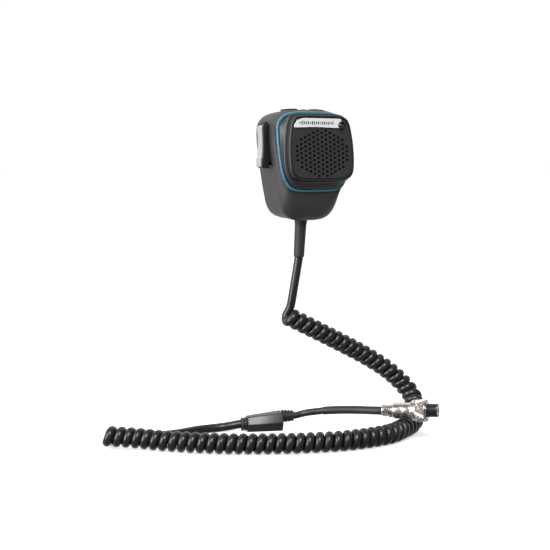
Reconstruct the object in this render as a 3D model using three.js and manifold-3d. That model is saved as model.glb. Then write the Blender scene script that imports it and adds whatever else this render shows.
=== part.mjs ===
// A hand microphone for a two-way radio: a palm-sized housing with a talk lever and two top buttons, a curly
// cord, an in-line filter box and a round screw-on plug. Millimetres, +Z up, the microphone faces -Y. The
// origin is the centre of the flat outer face of the hang-up stud on the back.
import * as THREE from "three";
import { mergeVertices } from "three/addons/utils/BufferGeometryUtils.js";
import Module from "manifold-3d";

const wasm = await Module();
wasm.setup();

// ---------- driving sizes ----------
const GAP = 0.3; // between pieces that touch
const WALL = 2.2; // moulded shells

// Housing: depths are measured forwards from the stud face, so they are Y with its sign turned.
const STUD_PROUD = 6; // stud face to rear cover
const COVER_DEPTH = 4; // rear cover
const HOUSING_DEPTH = 28.8; // parting line to trim ring
const RAKE_DEPTH = 7; // the lower front starts to lean back this far behind the ring
const SHROUD_DEPTH = 6.5; // trim ring to bezel
const BEZEL_DEPTH = 4.7; // raised frame round the grille
const HOUSING_WIDTH = 71;
const HOUSING_TOP = 28.5; // above the stud axis
const HOUSING_BOTTOM = -58;
const CHIN_BOTTOM = -46; // underside of the chin where it meets the ring
const RING_TOP = 27.2;
const RING_BOTTOM = -35.5;
const RING_WIDTH = 2; // of the coloured line
const RING_DEPTH = 1.4;
const BEZEL_WIDTH = 62.4;
const BEZEL_DROP = 4.5; // bezel top below the housing top
const BEZEL_HEIGHT = 50.4;
const FACE_LEAN = 4.5; // degrees, the ring and all in front of it lean back at the top
const BEZEL_RIM = 1.5; // width of the frame round the grille panel

// Grille
const PANEL_THICK = 1.1;
const PANEL_SUNK = 0.3; // below the bezel's front edge
const HOLE_COUNTS = [4, 7, 8, 9, 10, 11, 10, 11, 10, 9, 8, 7, 4];
const HOLE_FIELD_SHARE = 0.89; // hole field width over panel width
const HOLE_ROW_PITCH = 3.5;
const HOLE_WIDTH = 3.2;
const HOLE_HEIGHT = 2.1;
const HOLE_FIELD_DROP = 29.5; // bezel top to the middle of the hole field
const CLOTH_THICK = 0.6;
const BADGE_LEFT = -30; // from the middle
const BADGE_RIGHT = 18;
const BADGE_TOP_DROP = 2.4; // below the bezel top
const BADGE_HEIGHT = 7.4;
const BADGE_THICK = 0.8;
const LENS_RADIUS = 2.4;
const LENS_X = 19.5;
const LENS_DROP = 8;
const CAPSULE_RADIUS = 4.9;
const CAPSULE_LENGTH = 6;
const BOOT_WALL = 1.6;

// Talk lever
const LEVER_THICK = 7; // along Y
const LEVER_MID_DEPTH = 25; // middle of the lever behind the stud face
const LEVER_TOP = 17.7;
const LEVER_BOTTOM = -17;
const LEVER_PROUD = 7.1; // outside the housing's widest place
const TONGUE_THICK = 4.4;
const TONGUE_REACH = 5; // inside the wall
const PIVOT_BELOW_TOP = 4;
const PIN_RADIUS = 1;
const PAD_THICK = 1.2;

// Top buttons
const BUTTON_X = 13.5;
const BUTTON_LENGTH = 12.4;
const BUTTON_WIDTH = 6.4;
const BUTTON_PROUD = 1.1;
const BUTTON_MID_DEPTH = 24;
const BUTTON_TRAVEL = 0.8;

// Hang-up stud, screws, board
const STUD_HEAD_RADIUS = 7;
const STUD_HEAD_THICK = 2.4;
const STUD_NECK_RADIUS = 3.6;
const COVER_SCREWS = [
  [-26.5, 19],
  [26.5, 19],
  [-15.5, -47],
  [15.5, -47],
];
const SCREW_HEAD_RADIUS = 2.4;
const SCREW_SHANK_RADIUS = 1.2;
const SCREW_LENGTH = 12;
const BOSS_RADIUS = 3.1;
const BOARD_WIDTH = 46;
const BOARD_TOP = 15.5;
const BOARD_BOTTOM = -34;
const BOARD_THICK = 1.6;
const BOARD_DEPTH = 20; // behind the stud face

// Cord
const WIRE_RADIUS = 3.5;
const COIL_RADIUS = 8.1; // outside of the turns
const THIN_RADIUS = 2.9; // cable from the box to the plug
const SLEEVE_RADIUS = 3.35;
const RELIEF_LENGTH = 29.8;
const RELIEF_TOP_RADIUS = 4.7;
const RELIEF_END_RADIUS = 4.2;
const RELIEF_LEAN_X = -0.5; // where its end hangs, sideways and backwards from its top
const RELIEF_LEAN_Y = 2;
const RELIEF_DEPTH = 21.8;

// The route of the cord, from the microphone to the plug: chosen points.
const LEAD_POINTS = [
  [-0.55, -19.7, -89.1],
  [-1.5, -19.6, -94.6],
  [-3.2, -19.5, -103.5],
  [-5.2, -19.3, -114],
  [-6.5, -19.5, -122.9],
  [-7, -19.5, -125.7],
];
const COIL_POINTS = [
  [-11.5, -19.5, -135.5],
  [5, -26.5, -144.6],
  [30, -33.5, -158.1],
  [55.5, -40.5, -172.7],
  [72.5, -48.5, -185.5],
  [82.5, -54, -196.4],
  [85, -61.5, -204.5],
  [81, -71, -212.4],
  [73.5, -79, -218.3],
  [64, -84.5, -221.7],
  [49.5, -92, -221.7],
  [30, -99.5, -221.7],
  [8.5, -100, -221.7],
  [-13, -96.5, -221.7],
  [-31.5, -89.5, -221.7],
  [-57, -76.5, -221.7],
  [-83, -59.5, -221.7],
  [-105, -41, -221.7],
  [-126.5, -18.5, -221.5],
  [-142, -1.5, -220.6],
  [-157, 10, -219.3],
];
const RETURN_POINTS = [
  [-151.5, 20.5, -222.5],
  [-143.5, 24.5, -225.5],
  [-133, 25.5, -226.4],
  [-114.5, 15.5, -226.4],
  [-97.5, 12, -226.4],
  [-86, 12.5, -226.4],
  [-75, 13, -226.4],
  [-58, 9, -226.1],
  [-50, 4, -224.7],
  [-44.7, 1.4, -223.8],
];
const THIN_POINTS = [
  [-0.95, -16.45, -218.86],
  [0.5, -17.2, -218.6],
  [3.2, -23.8, -216.1],
  [9.2, -32, -214],
  [15.5, -41.1, -212.2],
  [22.7, -51.5, -210.9],
  [29.5, -62.3, -209.9],
  [34.9, -76.3, -208.5],
  [37.8, -80.8, -208.1],
];
const SLEEVE_FROM = 0.4; // share of the thin cable's length where the sleeve begins

// In-line box
const BOX_LENGTH = 29;
const BOX_WIDE_END = [19, 15]; // width and height
const BOX_NARROW_END = [15, 12.2];
const BOX_CHAMFER = 3.6;
const BOX_WALL = 1.4;
const BOX_MIDDLE = [-25.5, -6.4, -222.4];
const BOX_YAW = -22; // degrees, of the long axis
const BOX_RELIEF_LENGTH = 10.5;
const INLET_RELIEF_LENGTH = 5;
const RELIEF_ROOT = WIRE_RADIUS + 0.6;
const OUTLET_RISE = 3.4; // outlet above the middle of the wide end

// Plug
const PLUG_REAR = [37.6, -80.5, -208.1]; // where the cable goes in
const PLUG_YAW = -57; // degrees about Z
const PLUG_NOSE_UP = 5; // degrees
const PLUG_LENGTH = 45;
const CLAMP_LENGTH = 8.2;
const SHELL_RADIUS = 6.4;
const BARREL_RADIUS = 5.9;
const STEP_AT = 23.6;
const SHELL_END = 37;
const SHOULDER_RADIUS = 6.8;
const INSERT_RADIUS = 5.25;
const NUT_LENGTH = 12.4;
const NUT_RADIUS = 9;
const NUT_BORE = 7.4;
const NUT_BACK = 2; // thickness of the nut's rear wall
const CONTACTS = 4;
const CONTACT_CIRCLE = 3;

// ---------- helpers ----------
// A closed three.js geometry as a solid, turned right side out if its faces point inwards.
function toSolid(geometry) {
  const g = geometry.index ? geometry.toNonIndexed() : geometry.clone();
  g.deleteAttribute("normal");
  g.deleteAttribute("uv");
  const merged = mergeVertices(g, 1e-4);
  const triVerts = new Uint32Array(merged.index.array);
  const vertProperties = new Float32Array(merged.attributes.position.array);
  const make = () => new wasm.Manifold(new wasm.Mesh({ numProp: 3, vertProperties, triVerts }));
  const made = make();
  if (made.volume() > 0) return made;
  triVerts.reverse();
  return make();
}

const box = (x0, x1, y0, y1, z0, z1) =>
  toSolid(
    new THREE.BoxGeometry(x1 - x0, y1 - y0, z1 - z0).translate((x0 + x1) / 2, (y0 + y1) / 2, (z0 + z1) / 2),
  );

// A turned piece about Y: profile points are [radius, distance along +Y].
const turnedY = (profile, sides = 24) =>
  new THREE.LatheGeometry(
    profile.map(([r, y]) => new THREE.Vector2(r, y)),
    sides,
  );
const turnedX = (profile, sides) => turnedY(profile, sides).rotateZ(-Math.PI / 2);
const turnedZ = (profile, sides) => turnedY(profile, sides).rotateX(Math.PI / 2);
const rod = (radius, from, to) => [
  [0, from],
  [radius, from],
  [radius, to],
  [0, to],
];
const pipe = (inner, outer, from, to) => [
  [inner, from],
  [outer, from],
  [outer, to],
  [inner, to],
  [inner, from],
];

// A round tube that follows a smooth curve through the points.
const vectors = (points) => points.map((p) => new THREE.Vector3(...p));
const routeOf = (points) => new THREE.CatmullRomCurve3(vectors(points), false, "centripetal");
function circleShape(radius, sides) {
  const turn = (2 * Math.PI) / sides;
  const corners = Array.from({ length: sides }, (_, k) => [
    radius * Math.cos(k * turn),
    radius * Math.sin(k * turn),
  ]);
  return new THREE.Shape(corners.map(([x, y]) => new THREE.Vector2(x, y)));
}
const tube = (curve, radius, sides, steps) =>
  toSolid(new THREE.ExtrudeGeometry(circleShape(radius, sides), { steps, extrudePath: curve }));

// A flat outline in X and Z, extruded along Y between two depths, leaning back by a share of Z.
function slab(outline, depth0, depth1, lean = 0) {
  const shape = new THREE.Shape(outline.map(([x, z]) => new THREE.Vector2(x, z)));
  const g = new THREE.ExtrudeGeometry(shape, { depth: depth1 - depth0, bevelEnabled: false });
  g.rotateX(Math.PI / 2).translate(0, -depth0, 0);
  return toSolid(g.applyMatrix4(new THREE.Matrix4().set(1, 0, 0, 0, 0, 1, lean, 0, 0, 0, 1, 0, 0, 0, 0, 1)));
}

// A symmetric outline round a piece of the given half width, top and bottom. The shape lists points down its
// right side: share of the half width, and share of the height from the top.
const RING_POINTS = 40;
function outline(shape, half, top, bottom) {
  const side = shape.map(([u, v]) => new THREE.Vector3(u * half, 0, top - v * (top - bottom)));
  const left = side
    .slice(1, -1)
    .reverse()
    .map((p) => new THREE.Vector3(-p.x, 0, p.z));
  const curve = new THREE.CatmullRomCurve3([...side, ...left], true, "centripetal");
  return curve.getSpacedPoints(RING_POINTS).slice(0, RING_POINTS);
}

// A solid skinned over outlines that stand at increasing depths, each leaning back by its own share of Z.
function loft(sections) {
  const positions = [];
  const at = (s, k) => {
    const p = sections[s].points[k % RING_POINTS];
    return [p.x, -sections[s].depth + sections[s].lean * p.z, p.z];
  };
  const last = sections.length - 1;
  for (let s = 0; s < last; s++)
    for (let k = 0; k < RING_POINTS; k++) {
      positions.push(...at(s, k), ...at(s, k + 1), ...at(s + 1, k + 1));
      positions.push(...at(s, k), ...at(s + 1, k + 1), ...at(s + 1, k));
    }
  for (const s of [0, last]) {
    const flat = sections[s].points.map((p) => new THREE.Vector2(p.x, p.z));
    for (const [a, b, c] of THREE.ShapeUtils.triangulateShape(flat, [])) {
      const corners = s === 0 ? [a, b, c] : [c, b, a];
      corners.forEach((k) => positions.push(...at(s, k)));
    }
  }
  const g = new THREE.BufferGeometry();
  g.setAttribute("position", new THREE.Float32BufferAttribute(positions, 3));
  return toSolid(g);
}

const group = new THREE.Group();
const finish = (color, roughness, metalness) =>
  new THREE.MeshStandardMaterial({ color, roughness, metalness });
const housingPlastic = finish(0x4a4a4d, 0.55, 0);
const blackPlastic = finish(0x222225, 0.5, 0);
const panelPlastic = finish(0x3a3a3d, 0.6, 0);
const tealPlastic = finish(0x2f93ad, 0.4, 0);
const greyPlastic = finish(0xb9babd, 0.5, 0);
const silver = finish(0xd8d8da, 0.3, 0.9);
const nickel = finish(0xc9c2b8, 0.25, 1);
const steel = finish(0x9a9a9c, 0.35, 1);
const gold = finish(0xd2a84c, 0.3, 1);
const rubber = finish(0x1b1b1d, 0.7, 0);
const boardGreen = finish(0x1f5a35, 0.6, 0);
const cloth = finish(0x141416, 0.95, 0);
const lensPlastic = finish(0x3b3b40, 0.1, 0);

function add(name, solid, material, parent = group) {
  const made = solid.getMesh();
  const g = new THREE.BufferGeometry();
  const stride = made.numProp;
  const xyz = new Float32Array(made.numVert * 3);
  for (let v = 0; v < made.numVert; v++) {
    xyz.set(made.vertProperties.subarray(v * stride, v * stride + 3), v * 3);
  }
  g.setAttribute("position", new THREE.BufferAttribute(xyz, 3));
  g.setIndex(new THREE.BufferAttribute(made.triVerts, 1));
  g.computeVertexNormals();
  const mesh = new THREE.Mesh(g, material);
  mesh.name = name;
  parent.add(mesh);
}

// ---------- shapes shared by the housing pieces ----------
const LEAN = Math.tan(THREE.MathUtils.degToRad(FACE_LEAN));
const HALF = HOUSING_WIDTH / 2;
const PARTING = STUD_PROUD + COVER_DEPTH;
const RING_FACE = PARTING + HOUSING_DEPTH;
const BEZEL_BASE = RING_FACE + SHROUD_DEPTH;
const FRONT = BEZEL_BASE + BEZEL_DEPTH;
const BEZEL_TOP = HOUSING_TOP - BEZEL_DROP;
const BEZEL_BOTTOM = BEZEL_TOP - BEZEL_HEIGHT;

const PALM_SHAPE = [
  [0, 0],
  [0.535, 0.008],
  [0.817, 0.045],
  [0.972, 0.114],
  [1, 0.205],
  [0.975, 0.341],
  [0.887, 0.568],
  [0.777, 0.795],
  [0.713, 0.886],
  [0.62, 0.943],
  [0.465, 0.982],
  [0.25, 0.998],
  [0, 1],
];
const SHIELD_SHAPE = [
  [0, 0],
  [0.54, 0.01],
  [0.83, 0.06],
  [0.975, 0.15],
  [1, 0.27],
  [0.965, 0.58],
  [0.915, 0.76],
  [0.84, 0.87],
  [0.73, 0.95],
  [0.55, 0.99],
  [0, 1],
];
const BARREL_SHAPE = [
  [0, 0],
  [0.5, 0.004],
  [0.77, 0.03],
  [0.875, 0.09],
  [0.965, 0.31],
  [1, 0.56],
  [0.985, 0.8],
  [0.94, 0.9],
  [0.84, 0.965],
  [0.68, 0.993],
  [0, 1],
];
// Each call takes the depth and how far inside the piece's own outline the section lies.
const palm = (depth, inset) => ({
  depth,
  lean: 0,
  points: outline(PALM_SHAPE, HALF - inset, HOUSING_TOP - inset, HOUSING_BOTTOM + inset),
});
const chin = (depth, inset) => ({
  depth,
  lean: LEAN,
  points: outline(PALM_SHAPE, HALF - inset, RING_TOP + 0.6 - inset, CHIN_BOTTOM + inset),
});
const shield = (depth, inset) => ({
  depth,
  lean: LEAN,
  points: outline(SHIELD_SHAPE, HALF - inset, RING_TOP - inset, RING_BOTTOM + inset),
});
const barrel = (depth, inset) => ({
  depth,
  lean: LEAN,
  points: outline(BARREL_SHAPE, BEZEL_WIDTH / 2 - inset, BEZEL_TOP - inset, BEZEL_BOTTOM + inset),
});
const yRod = (radius, depth0, depth1, x, z, sides = 16) =>
  toSolid(turnedY(rod(radius, -depth1, -depth0), sides).translate(x, 0, z));
// The same for the leaning front, whose depths are given at the stud axis.
const faceRod = (radius, depth0, depth1, x, z, sides = 16) =>
  yRod(radius, depth0 - LEAN * z, depth1 - LEAN * z, x, z, sides);

// ---------- housing ----------
// Front housing: one moulding from the parting line to the trim ring, open at both ends, its lower front
// raked back to the chin, with bosses for the rear screws.
const RAKE_START = RING_FACE - RAKE_DEPTH;
const buttonHole = (x) =>
  box(
    x - BUTTON_LENGTH / 2 - GAP,
    x + BUTTON_LENGTH / 2 + GAP,
    -BUTTON_MID_DEPTH - BUTTON_WIDTH / 2 - GAP,
    -BUTTON_MID_DEPTH + BUTTON_WIDTH / 2 + GAP,
    HOUSING_TOP - 3 * WALL,
    HOUSING_TOP + WALL,
  );
{
  const outer = loft([
    palm(PARTING + GAP / 2, 1.2),
    palm(PARTING + 8, 0.4),
    palm(RAKE_START, 0),
    chin(RING_FACE - 2.5, 0.4),
    shield(RING_FACE, 0),
  ]);
  const inner = loft([
    palm(PARTING - 1, 1.2 + WALL),
    palm(PARTING + 8, 0.4 + WALL),
    palm(RAKE_START - 1, WALL),
    chin(RING_FACE - 3.5, 1.4 + WALL),
    shield(RING_FACE - 1, 1 + WALL),
    shield(RING_FACE + 1, 1 + WALL),
  ]);
  let shell = outer.subtract(inner);
  for (const [x, z] of COVER_SCREWS) {
    const post = yRod(BOSS_RADIUS, PARTING + GAP / 2, PARTING + SCREW_LENGTH + 2, x, z);
    const web = box(
      Math.min(x, Math.sign(x) * HALF),
      Math.max(x, Math.sign(x) * HALF),
      -(PARTING + SCREW_LENGTH + 2),
      -(PARTING + 4),
      z - 0.8,
      z + 0.8,
    );
    shell = shell.add(post.add(web).intersect(outer));
    shell = shell.subtract(yRod(SCREW_SHANK_RADIUS + GAP, PARTING - 1, PARTING + SCREW_LENGTH + 1, x, z, 12));
  }
  const tongueSlot = box(
    -HALF - 5,
    -HALF + 2 * WALL + 6,
    -LEVER_MID_DEPTH - TONGUE_THICK / 2 - 0.5,
    -LEVER_MID_DEPTH + TONGUE_THICK / 2 + 0.5,
    LEVER_BOTTOM + 2.4,
    LEVER_TOP - 1.6,
  );
  const reliefHole = toSolid(
    turnedZ(rod(RELIEF_TOP_RADIUS + GAP, HOUSING_BOTTOM - 3, HOUSING_BOTTOM + 4), 20)
      .translate(0, -RELIEF_DEPTH, 0),
  );
  shell = shell.subtract(tongueSlot).subtract(buttonHole(-BUTTON_X)).subtract(buttonHole(BUTTON_X));
  add("front_housing", shell.subtract(reliefHole), housingPlastic);
}

// Rear cover: a shallow dish with rounded edges, sunk screw seats and a hole for the stud.
{
  const outer = loft([
    palm(STUD_PROUD, 5.2),
    palm(STUD_PROUD + 0.6, 3.2),
    palm(STUD_PROUD + 2, 1.9),
    palm(PARTING - GAP / 2, 1.2),
  ]);
  const inner = loft([palm(STUD_PROUD + 1.8, 3.4 + WALL), palm(PARTING + 1, 1.2 + WALL)]);
  let cover = outer.subtract(inner);
  for (const [x, z] of COVER_SCREWS) {
    const seat = yRod(BOSS_RADIUS, STUD_PROUD + 1, PARTING - GAP / 2, x, z);
    cover = cover.add(seat);
    cover = cover.subtract(yRod(SCREW_SHANK_RADIUS + GAP, STUD_PROUD - 1, PARTING + 1, x, z, 12));
    cover = cover.subtract(yRod(SCREW_HEAD_RADIUS + GAP, STUD_PROUD - 1, STUD_PROUD + 2.2, x, z));
  }
  cover = cover.subtract(yRod(STUD_NECK_RADIUS - 1 + GAP, STUD_PROUD - 1, PARTING, 0, 0));
  add("rear_cover", cover, housingPlastic);
}

// Four self-tapping screws hold the rear cover.
COVER_SCREWS.forEach(([x, z], k) => {
  const head = yRod(SCREW_HEAD_RADIUS, STUD_PROUD + 0.5, STUD_PROUD + 2.2 - GAP, x, z);
  const shank = yRod(SCREW_SHANK_RADIUS, STUD_PROUD + 1, STUD_PROUD + SCREW_LENGTH, x, z, 10);
  const slotA = box(x - 1.5, x + 1.5, -STUD_PROUD - 1.1, -STUD_PROUD, z - 0.3, z + 0.3);
  const slotB = box(x - 0.3, x + 0.3, -STUD_PROUD - 1.1, -STUD_PROUD, z - 1.5, z + 1.5);
  add("cover_screw_" + (k + 1), head.add(shank).subtract(slotA.add(slotB)), steel);
});

// Hang-up stud: a flat button on a neck, with a shank through the cover held by a nut inside.
{
  const profile = [
    [0, 0],
    [STUD_HEAD_RADIUS - 0.6, 0],
    [STUD_HEAD_RADIUS, -0.6],
    [STUD_HEAD_RADIUS, -STUD_HEAD_THICK + 0.5],
    [STUD_HEAD_RADIUS - 0.8, -STUD_HEAD_THICK],
    [STUD_NECK_RADIUS, -STUD_HEAD_THICK],
    [STUD_NECK_RADIUS, -STUD_PROUD + GAP],
    [STUD_NECK_RADIUS - 1, -STUD_PROUD + GAP],
    [STUD_NECK_RADIUS - 1, -PARTING - 1],
    [0, -PARTING - 1],
  ];
  add("hanger_stud", toSolid(turnedY(profile, 32)), steel);
  const seat = STUD_PROUD + 1.8 + GAP;
  const nut = yRod(4.6, seat, seat + 2.4, 0, 0, 6);
  add("stud_nut", nut.subtract(yRod(STUD_NECK_RADIUS - 1 + GAP, seat - 1, seat + 4, 0, 0, 20)), steel);
}

// Trim ring: a thin coloured band let in between the housing and the shroud.
const RING_INSET = 0.5;
add(
  "trim_ring",
  loft([
    shield(RING_FACE + GAP, RING_INSET),
    shield(RING_FACE + GAP + RING_DEPTH, RING_INSET + 0.2),
  ]).subtract(
    loft([
      shield(RING_FACE + GAP - 1, RING_INSET + RING_WIDTH),
      shield(RING_FACE + GAP + RING_DEPTH + 1, RING_INSET + RING_WIDTH),
    ]),
  ),
  tealPlastic,
);

// Shroud: the sloped wall that rises from inside the trim ring to the foot of the bezel.
const SHROUD_INSET = RING_INSET + RING_WIDTH + GAP;
{
  const outer = loft([
    shield(RING_FACE + GAP, SHROUD_INSET),
    shield(RING_FACE + GAP + RING_DEPTH, SHROUD_INSET),
    barrel(BEZEL_BASE - GAP / 2, -1.1),
  ]);
  const inner = loft([
    shield(RING_FACE - 1, SHROUD_INSET + WALL),
    shield(RING_FACE + RING_DEPTH, SHROUD_INSET + WALL),
    barrel(BEZEL_BASE + 1, WALL),
  ]);
  add("front_shroud", outer.subtract(inner), housingPlastic);
}

// Bezel: the raised black frame, with a ledge behind the grille panel and a bore for the signal lamp.
const PANEL_INSET = BEZEL_RIM + GAP;
const PANEL_FACE = FRONT - PANEL_SUNK;
const LENS_Z = BEZEL_TOP - LENS_DROP;
{
  const outer = loft([barrel(BEZEL_BASE + GAP / 2, 0), barrel(FRONT - 0.9, 0), barrel(FRONT, 0.8)]);
  const pocket = loft([barrel(PANEL_FACE - PANEL_THICK - GAP, BEZEL_RIM), barrel(FRONT + 1, BEZEL_RIM)]);
  const through = loft([barrel(BEZEL_BASE - 1, BEZEL_RIM + 2.2), barrel(FRONT + 1, BEZEL_RIM + 2.2)]);
  const lampBore = faceRod(LENS_RADIUS + GAP, BEZEL_BASE - 1, FRONT + 1, LENS_X, LENS_Z, 20);
  add("front_bezel", outer.subtract(pocket).subtract(through).subtract(lampBore), blackPlastic);
}

// Grille panel: columns of six-sided holes, every other column shifted by half a pitch.
const PANEL_HALF = BEZEL_WIDTH / 2 - PANEL_INSET;
const COLUMN_PITCH = (2 * PANEL_HALF * HOLE_FIELD_SHARE) / HOLE_COUNTS.length;
const FIELD_Z = BEZEL_TOP - HOLE_FIELD_DROP;
{
  let panel = loft([barrel(PANEL_FACE - PANEL_THICK, PANEL_INSET), barrel(PANEL_FACE, PANEL_INSET)]);
  const hole = (x, z) => {
    const [w, h] = [HOLE_WIDTH / 2, HOLE_HEIGHT / 2];
    const six = [
      [x - w, z],
      [x - w / 2, z - h],
      [x + w / 2, z - h],
      [x + w, z],
      [x + w / 2, z + h],
      [x - w / 2, z + h],
    ];
    return slab(six, PANEL_FACE - PANEL_THICK - 4, PANEL_FACE + 4);
  };
  const middle = (HOLE_COUNTS.length - 1) / 2;
  HOLE_COUNTS.forEach((count, column) => {
    for (let row = 0; row < count; row++)
      panel = panel.subtract(
        hole((column - middle) * COLUMN_PITCH, FIELD_Z + (row - (count - 1) / 2) * HOLE_ROW_PITCH),
      );
  });
  panel = panel.subtract(faceRod(LENS_RADIUS + GAP, FRONT - 9, FRONT + 1, LENS_X, LENS_Z));
  add("grille_panel", panel, panelPlastic);
}
const CLOTH_FACE = PANEL_FACE - PANEL_THICK - GAP;
add(
  "grille_cloth",
  loft([barrel(CLOTH_FACE - CLOTH_THICK, BEZEL_RIM + 2.6), barrel(CLOTH_FACE, BEZEL_RIM + 2.6)]).subtract(
    faceRod(LENS_RADIUS + 1.4, FRONT - 9, FRONT + 1, LENS_X, LENS_Z),
  ),
  cloth,
);

// Name badge: a thin plain plate above the holes, cut round at its right end to clear the lamp.
{
  const top = BEZEL_TOP - BADGE_TOP_DROP;
  const bottom = top - BADGE_HEIGHT;
  const badgeFace = PANEL_FACE + GAP + BADGE_THICK;
  const inPocket = loft([barrel(PANEL_FACE, PANEL_INSET + 0.3), barrel(badgeFace + 1, PANEL_INSET + 0.3)]);
  const strip = [
    [BADGE_LEFT, bottom],
    [(BADGE_LEFT + BADGE_RIGHT) / 2, bottom + 0.7],
    [BADGE_RIGHT + 1, bottom],
    [BADGE_RIGHT + 1, top],
    [BADGE_LEFT, top],
  ];
  const plate = slab(strip, PANEL_FACE + GAP, badgeFace, LEAN).intersect(inPocket);
  const clear = faceRod(LENS_RADIUS + 1.3, FRONT - 9, FRONT + 3, LENS_X, LENS_Z, 20);
  add("name_badge", plate.subtract(clear), silver);
}

// Signal lamp: a domed lens in the panel and the lamp on its leads behind it.
{
  const lens = turnedY(
    [
      [0, -FRONT - 0.9],
      [LENS_RADIUS * 0.6, -FRONT - 0.65],
      [LENS_RADIUS * 0.95, -FRONT],
      [LENS_RADIUS, -FRONT + 0.6],
      [LENS_RADIUS, -PANEL_FACE + PANEL_THICK + 1.6],
      [0, -PANEL_FACE + PANEL_THICK + 1.6],
    ],
    20,
  ).translate(LENS_X, LEAN * LENS_Z, LENS_Z);
  add("signal_lens", toSolid(lens), lensPlastic);
  const lampTop = PANEL_FACE - PANEL_THICK - 1.6 - GAP;
  add("signal_lamp", faceRod(1.4, RING_FACE + 2, lampTop, LENS_X, LENS_Z), lensPlastic);
}

// ---------- talk lever, on a pin near its top ----------
const LEVER_FRONT = LEVER_MID_DEPTH + LEVER_THICK / 2;
const LEVER_BACK = LEVER_MID_DEPTH - LEVER_THICK / 2;
const LEVER_FACE = -(HALF + LEVER_PROUD);
const PIVOT_X = -HALF + WALL + 2.2;
const PIVOT_Z = LEVER_TOP - PIVOT_BELOW_TOP;
{
  const faceIn = LEVER_FACE + PAD_THICK + GAP;
  const paddle = slab(
    [
      [-HALF - 1, LEVER_TOP],
      [faceIn + 2.6, LEVER_TOP],
      [faceIn + 0.2, LEVER_TOP - 2.6],
      [faceIn + 0.9, (LEVER_TOP + LEVER_BOTTOM) / 2],
      [faceIn + 0.3, LEVER_BOTTOM + 8.4],
      [faceIn - 0.6, LEVER_BOTTOM + 7.6],
      [faceIn - 0.4, LEVER_BOTTOM + 1],
      [faceIn + 0.8, LEVER_BOTTOM],
      [-HALF + 1, LEVER_BOTTOM],
      [-HALF - 0.2, (LEVER_TOP + LEVER_BOTTOM) / 2],
    ],
    LEVER_BACK,
    LEVER_FRONT,
  );
  const tongue = slab(
    [
      [-HALF - 1.5, LEVER_TOP - 2.4],
      [-HALF + TONGUE_REACH + 1, LEVER_TOP - 2.4],
      [-HALF + TONGUE_REACH + 1, LEVER_BOTTOM + 12],
      [-HALF + TONGUE_REACH + 2.5, LEVER_BOTTOM + 9],
      [-HALF + TONGUE_REACH + 2.5, LEVER_BOTTOM + 6],
      [-HALF + 1, LEVER_BOTTOM + 5],
      [-HALF - 1.5, LEVER_BOTTOM + 5],
    ],
    LEVER_MID_DEPTH - TONGUE_THICK / 2,
    LEVER_MID_DEPTH + TONGUE_THICK / 2,
  );
  const pinHole = yRod(PIN_RADIUS + 0.1, LEVER_BACK - 3, LEVER_FRONT + 3, PIVOT_X, PIVOT_Z, 16);
  add("talk_lever", paddle.add(tongue).subtract(pinHole), blackPlastic);
  const pad = slab(
    [
      [LEVER_FACE + 3, LEVER_TOP - 0.6],
      [LEVER_FACE, LEVER_TOP - 3],
      [LEVER_FACE + 0.7, (LEVER_TOP + LEVER_BOTTOM) / 2],
      [LEVER_FACE + 0.1, LEVER_BOTTOM + 8.6],
      [LEVER_FACE - 0.8, LEVER_BOTTOM + 7.9],
      [LEVER_FACE - 0.6, LEVER_BOTTOM + 1.2],
      [LEVER_FACE - 0.6 + PAD_THICK, LEVER_BOTTOM + 1.2],
      [LEVER_FACE - 0.8 + PAD_THICK, LEVER_BOTTOM + 7.4],
      [LEVER_FACE + 0.1 + PAD_THICK, LEVER_BOTTOM + 8.2],
      [LEVER_FACE + 0.7 + PAD_THICK, (LEVER_TOP + LEVER_BOTTOM) / 2],
      [LEVER_FACE + PAD_THICK, LEVER_TOP - 2.8],
      [LEVER_FACE + 3 + PAD_THICK * 0.2, LEVER_TOP - 0.6],
    ],
    LEVER_BACK + 0.6,
    LEVER_FRONT - 0.6,
  );
  add("lever_pad", pad, greyPlastic);
  const pin = yRod(PIN_RADIUS, LEVER_MID_DEPTH - 5, LEVER_MID_DEPTH + 5, PIVOT_X, PIVOT_Z, 12);
  add("lever_pin", pin, steel);
}
// Behind the lever: the talk switch on the board's edge, and the spring that pushes the lever out.
{
  const switchX = -BOARD_WIDTH / 2 - 1;
  const body = box(switchX, switchX + 6.5, -LEVER_MID_DEPTH - 3, -LEVER_MID_DEPTH + 3, -16, -4);
  const plungerY = -LEVER_MID_DEPTH - 1.2;
  const plunger = box(switchX - 2.1, switchX + 1, plungerY, plungerY + 2.4, -11.5, -8.5);
  add("talk_switch", body.add(plunger), blackPlastic);
  const coil = turnedX(pipe(1.1, 1.9, -HALF + TONGUE_REACH + 1 + 1.2, switchX + 0.6), 12);
  add("lever_spring", toSolid(coil.translate(0, -LEVER_MID_DEPTH, 1.5)), steel);
}

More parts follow.
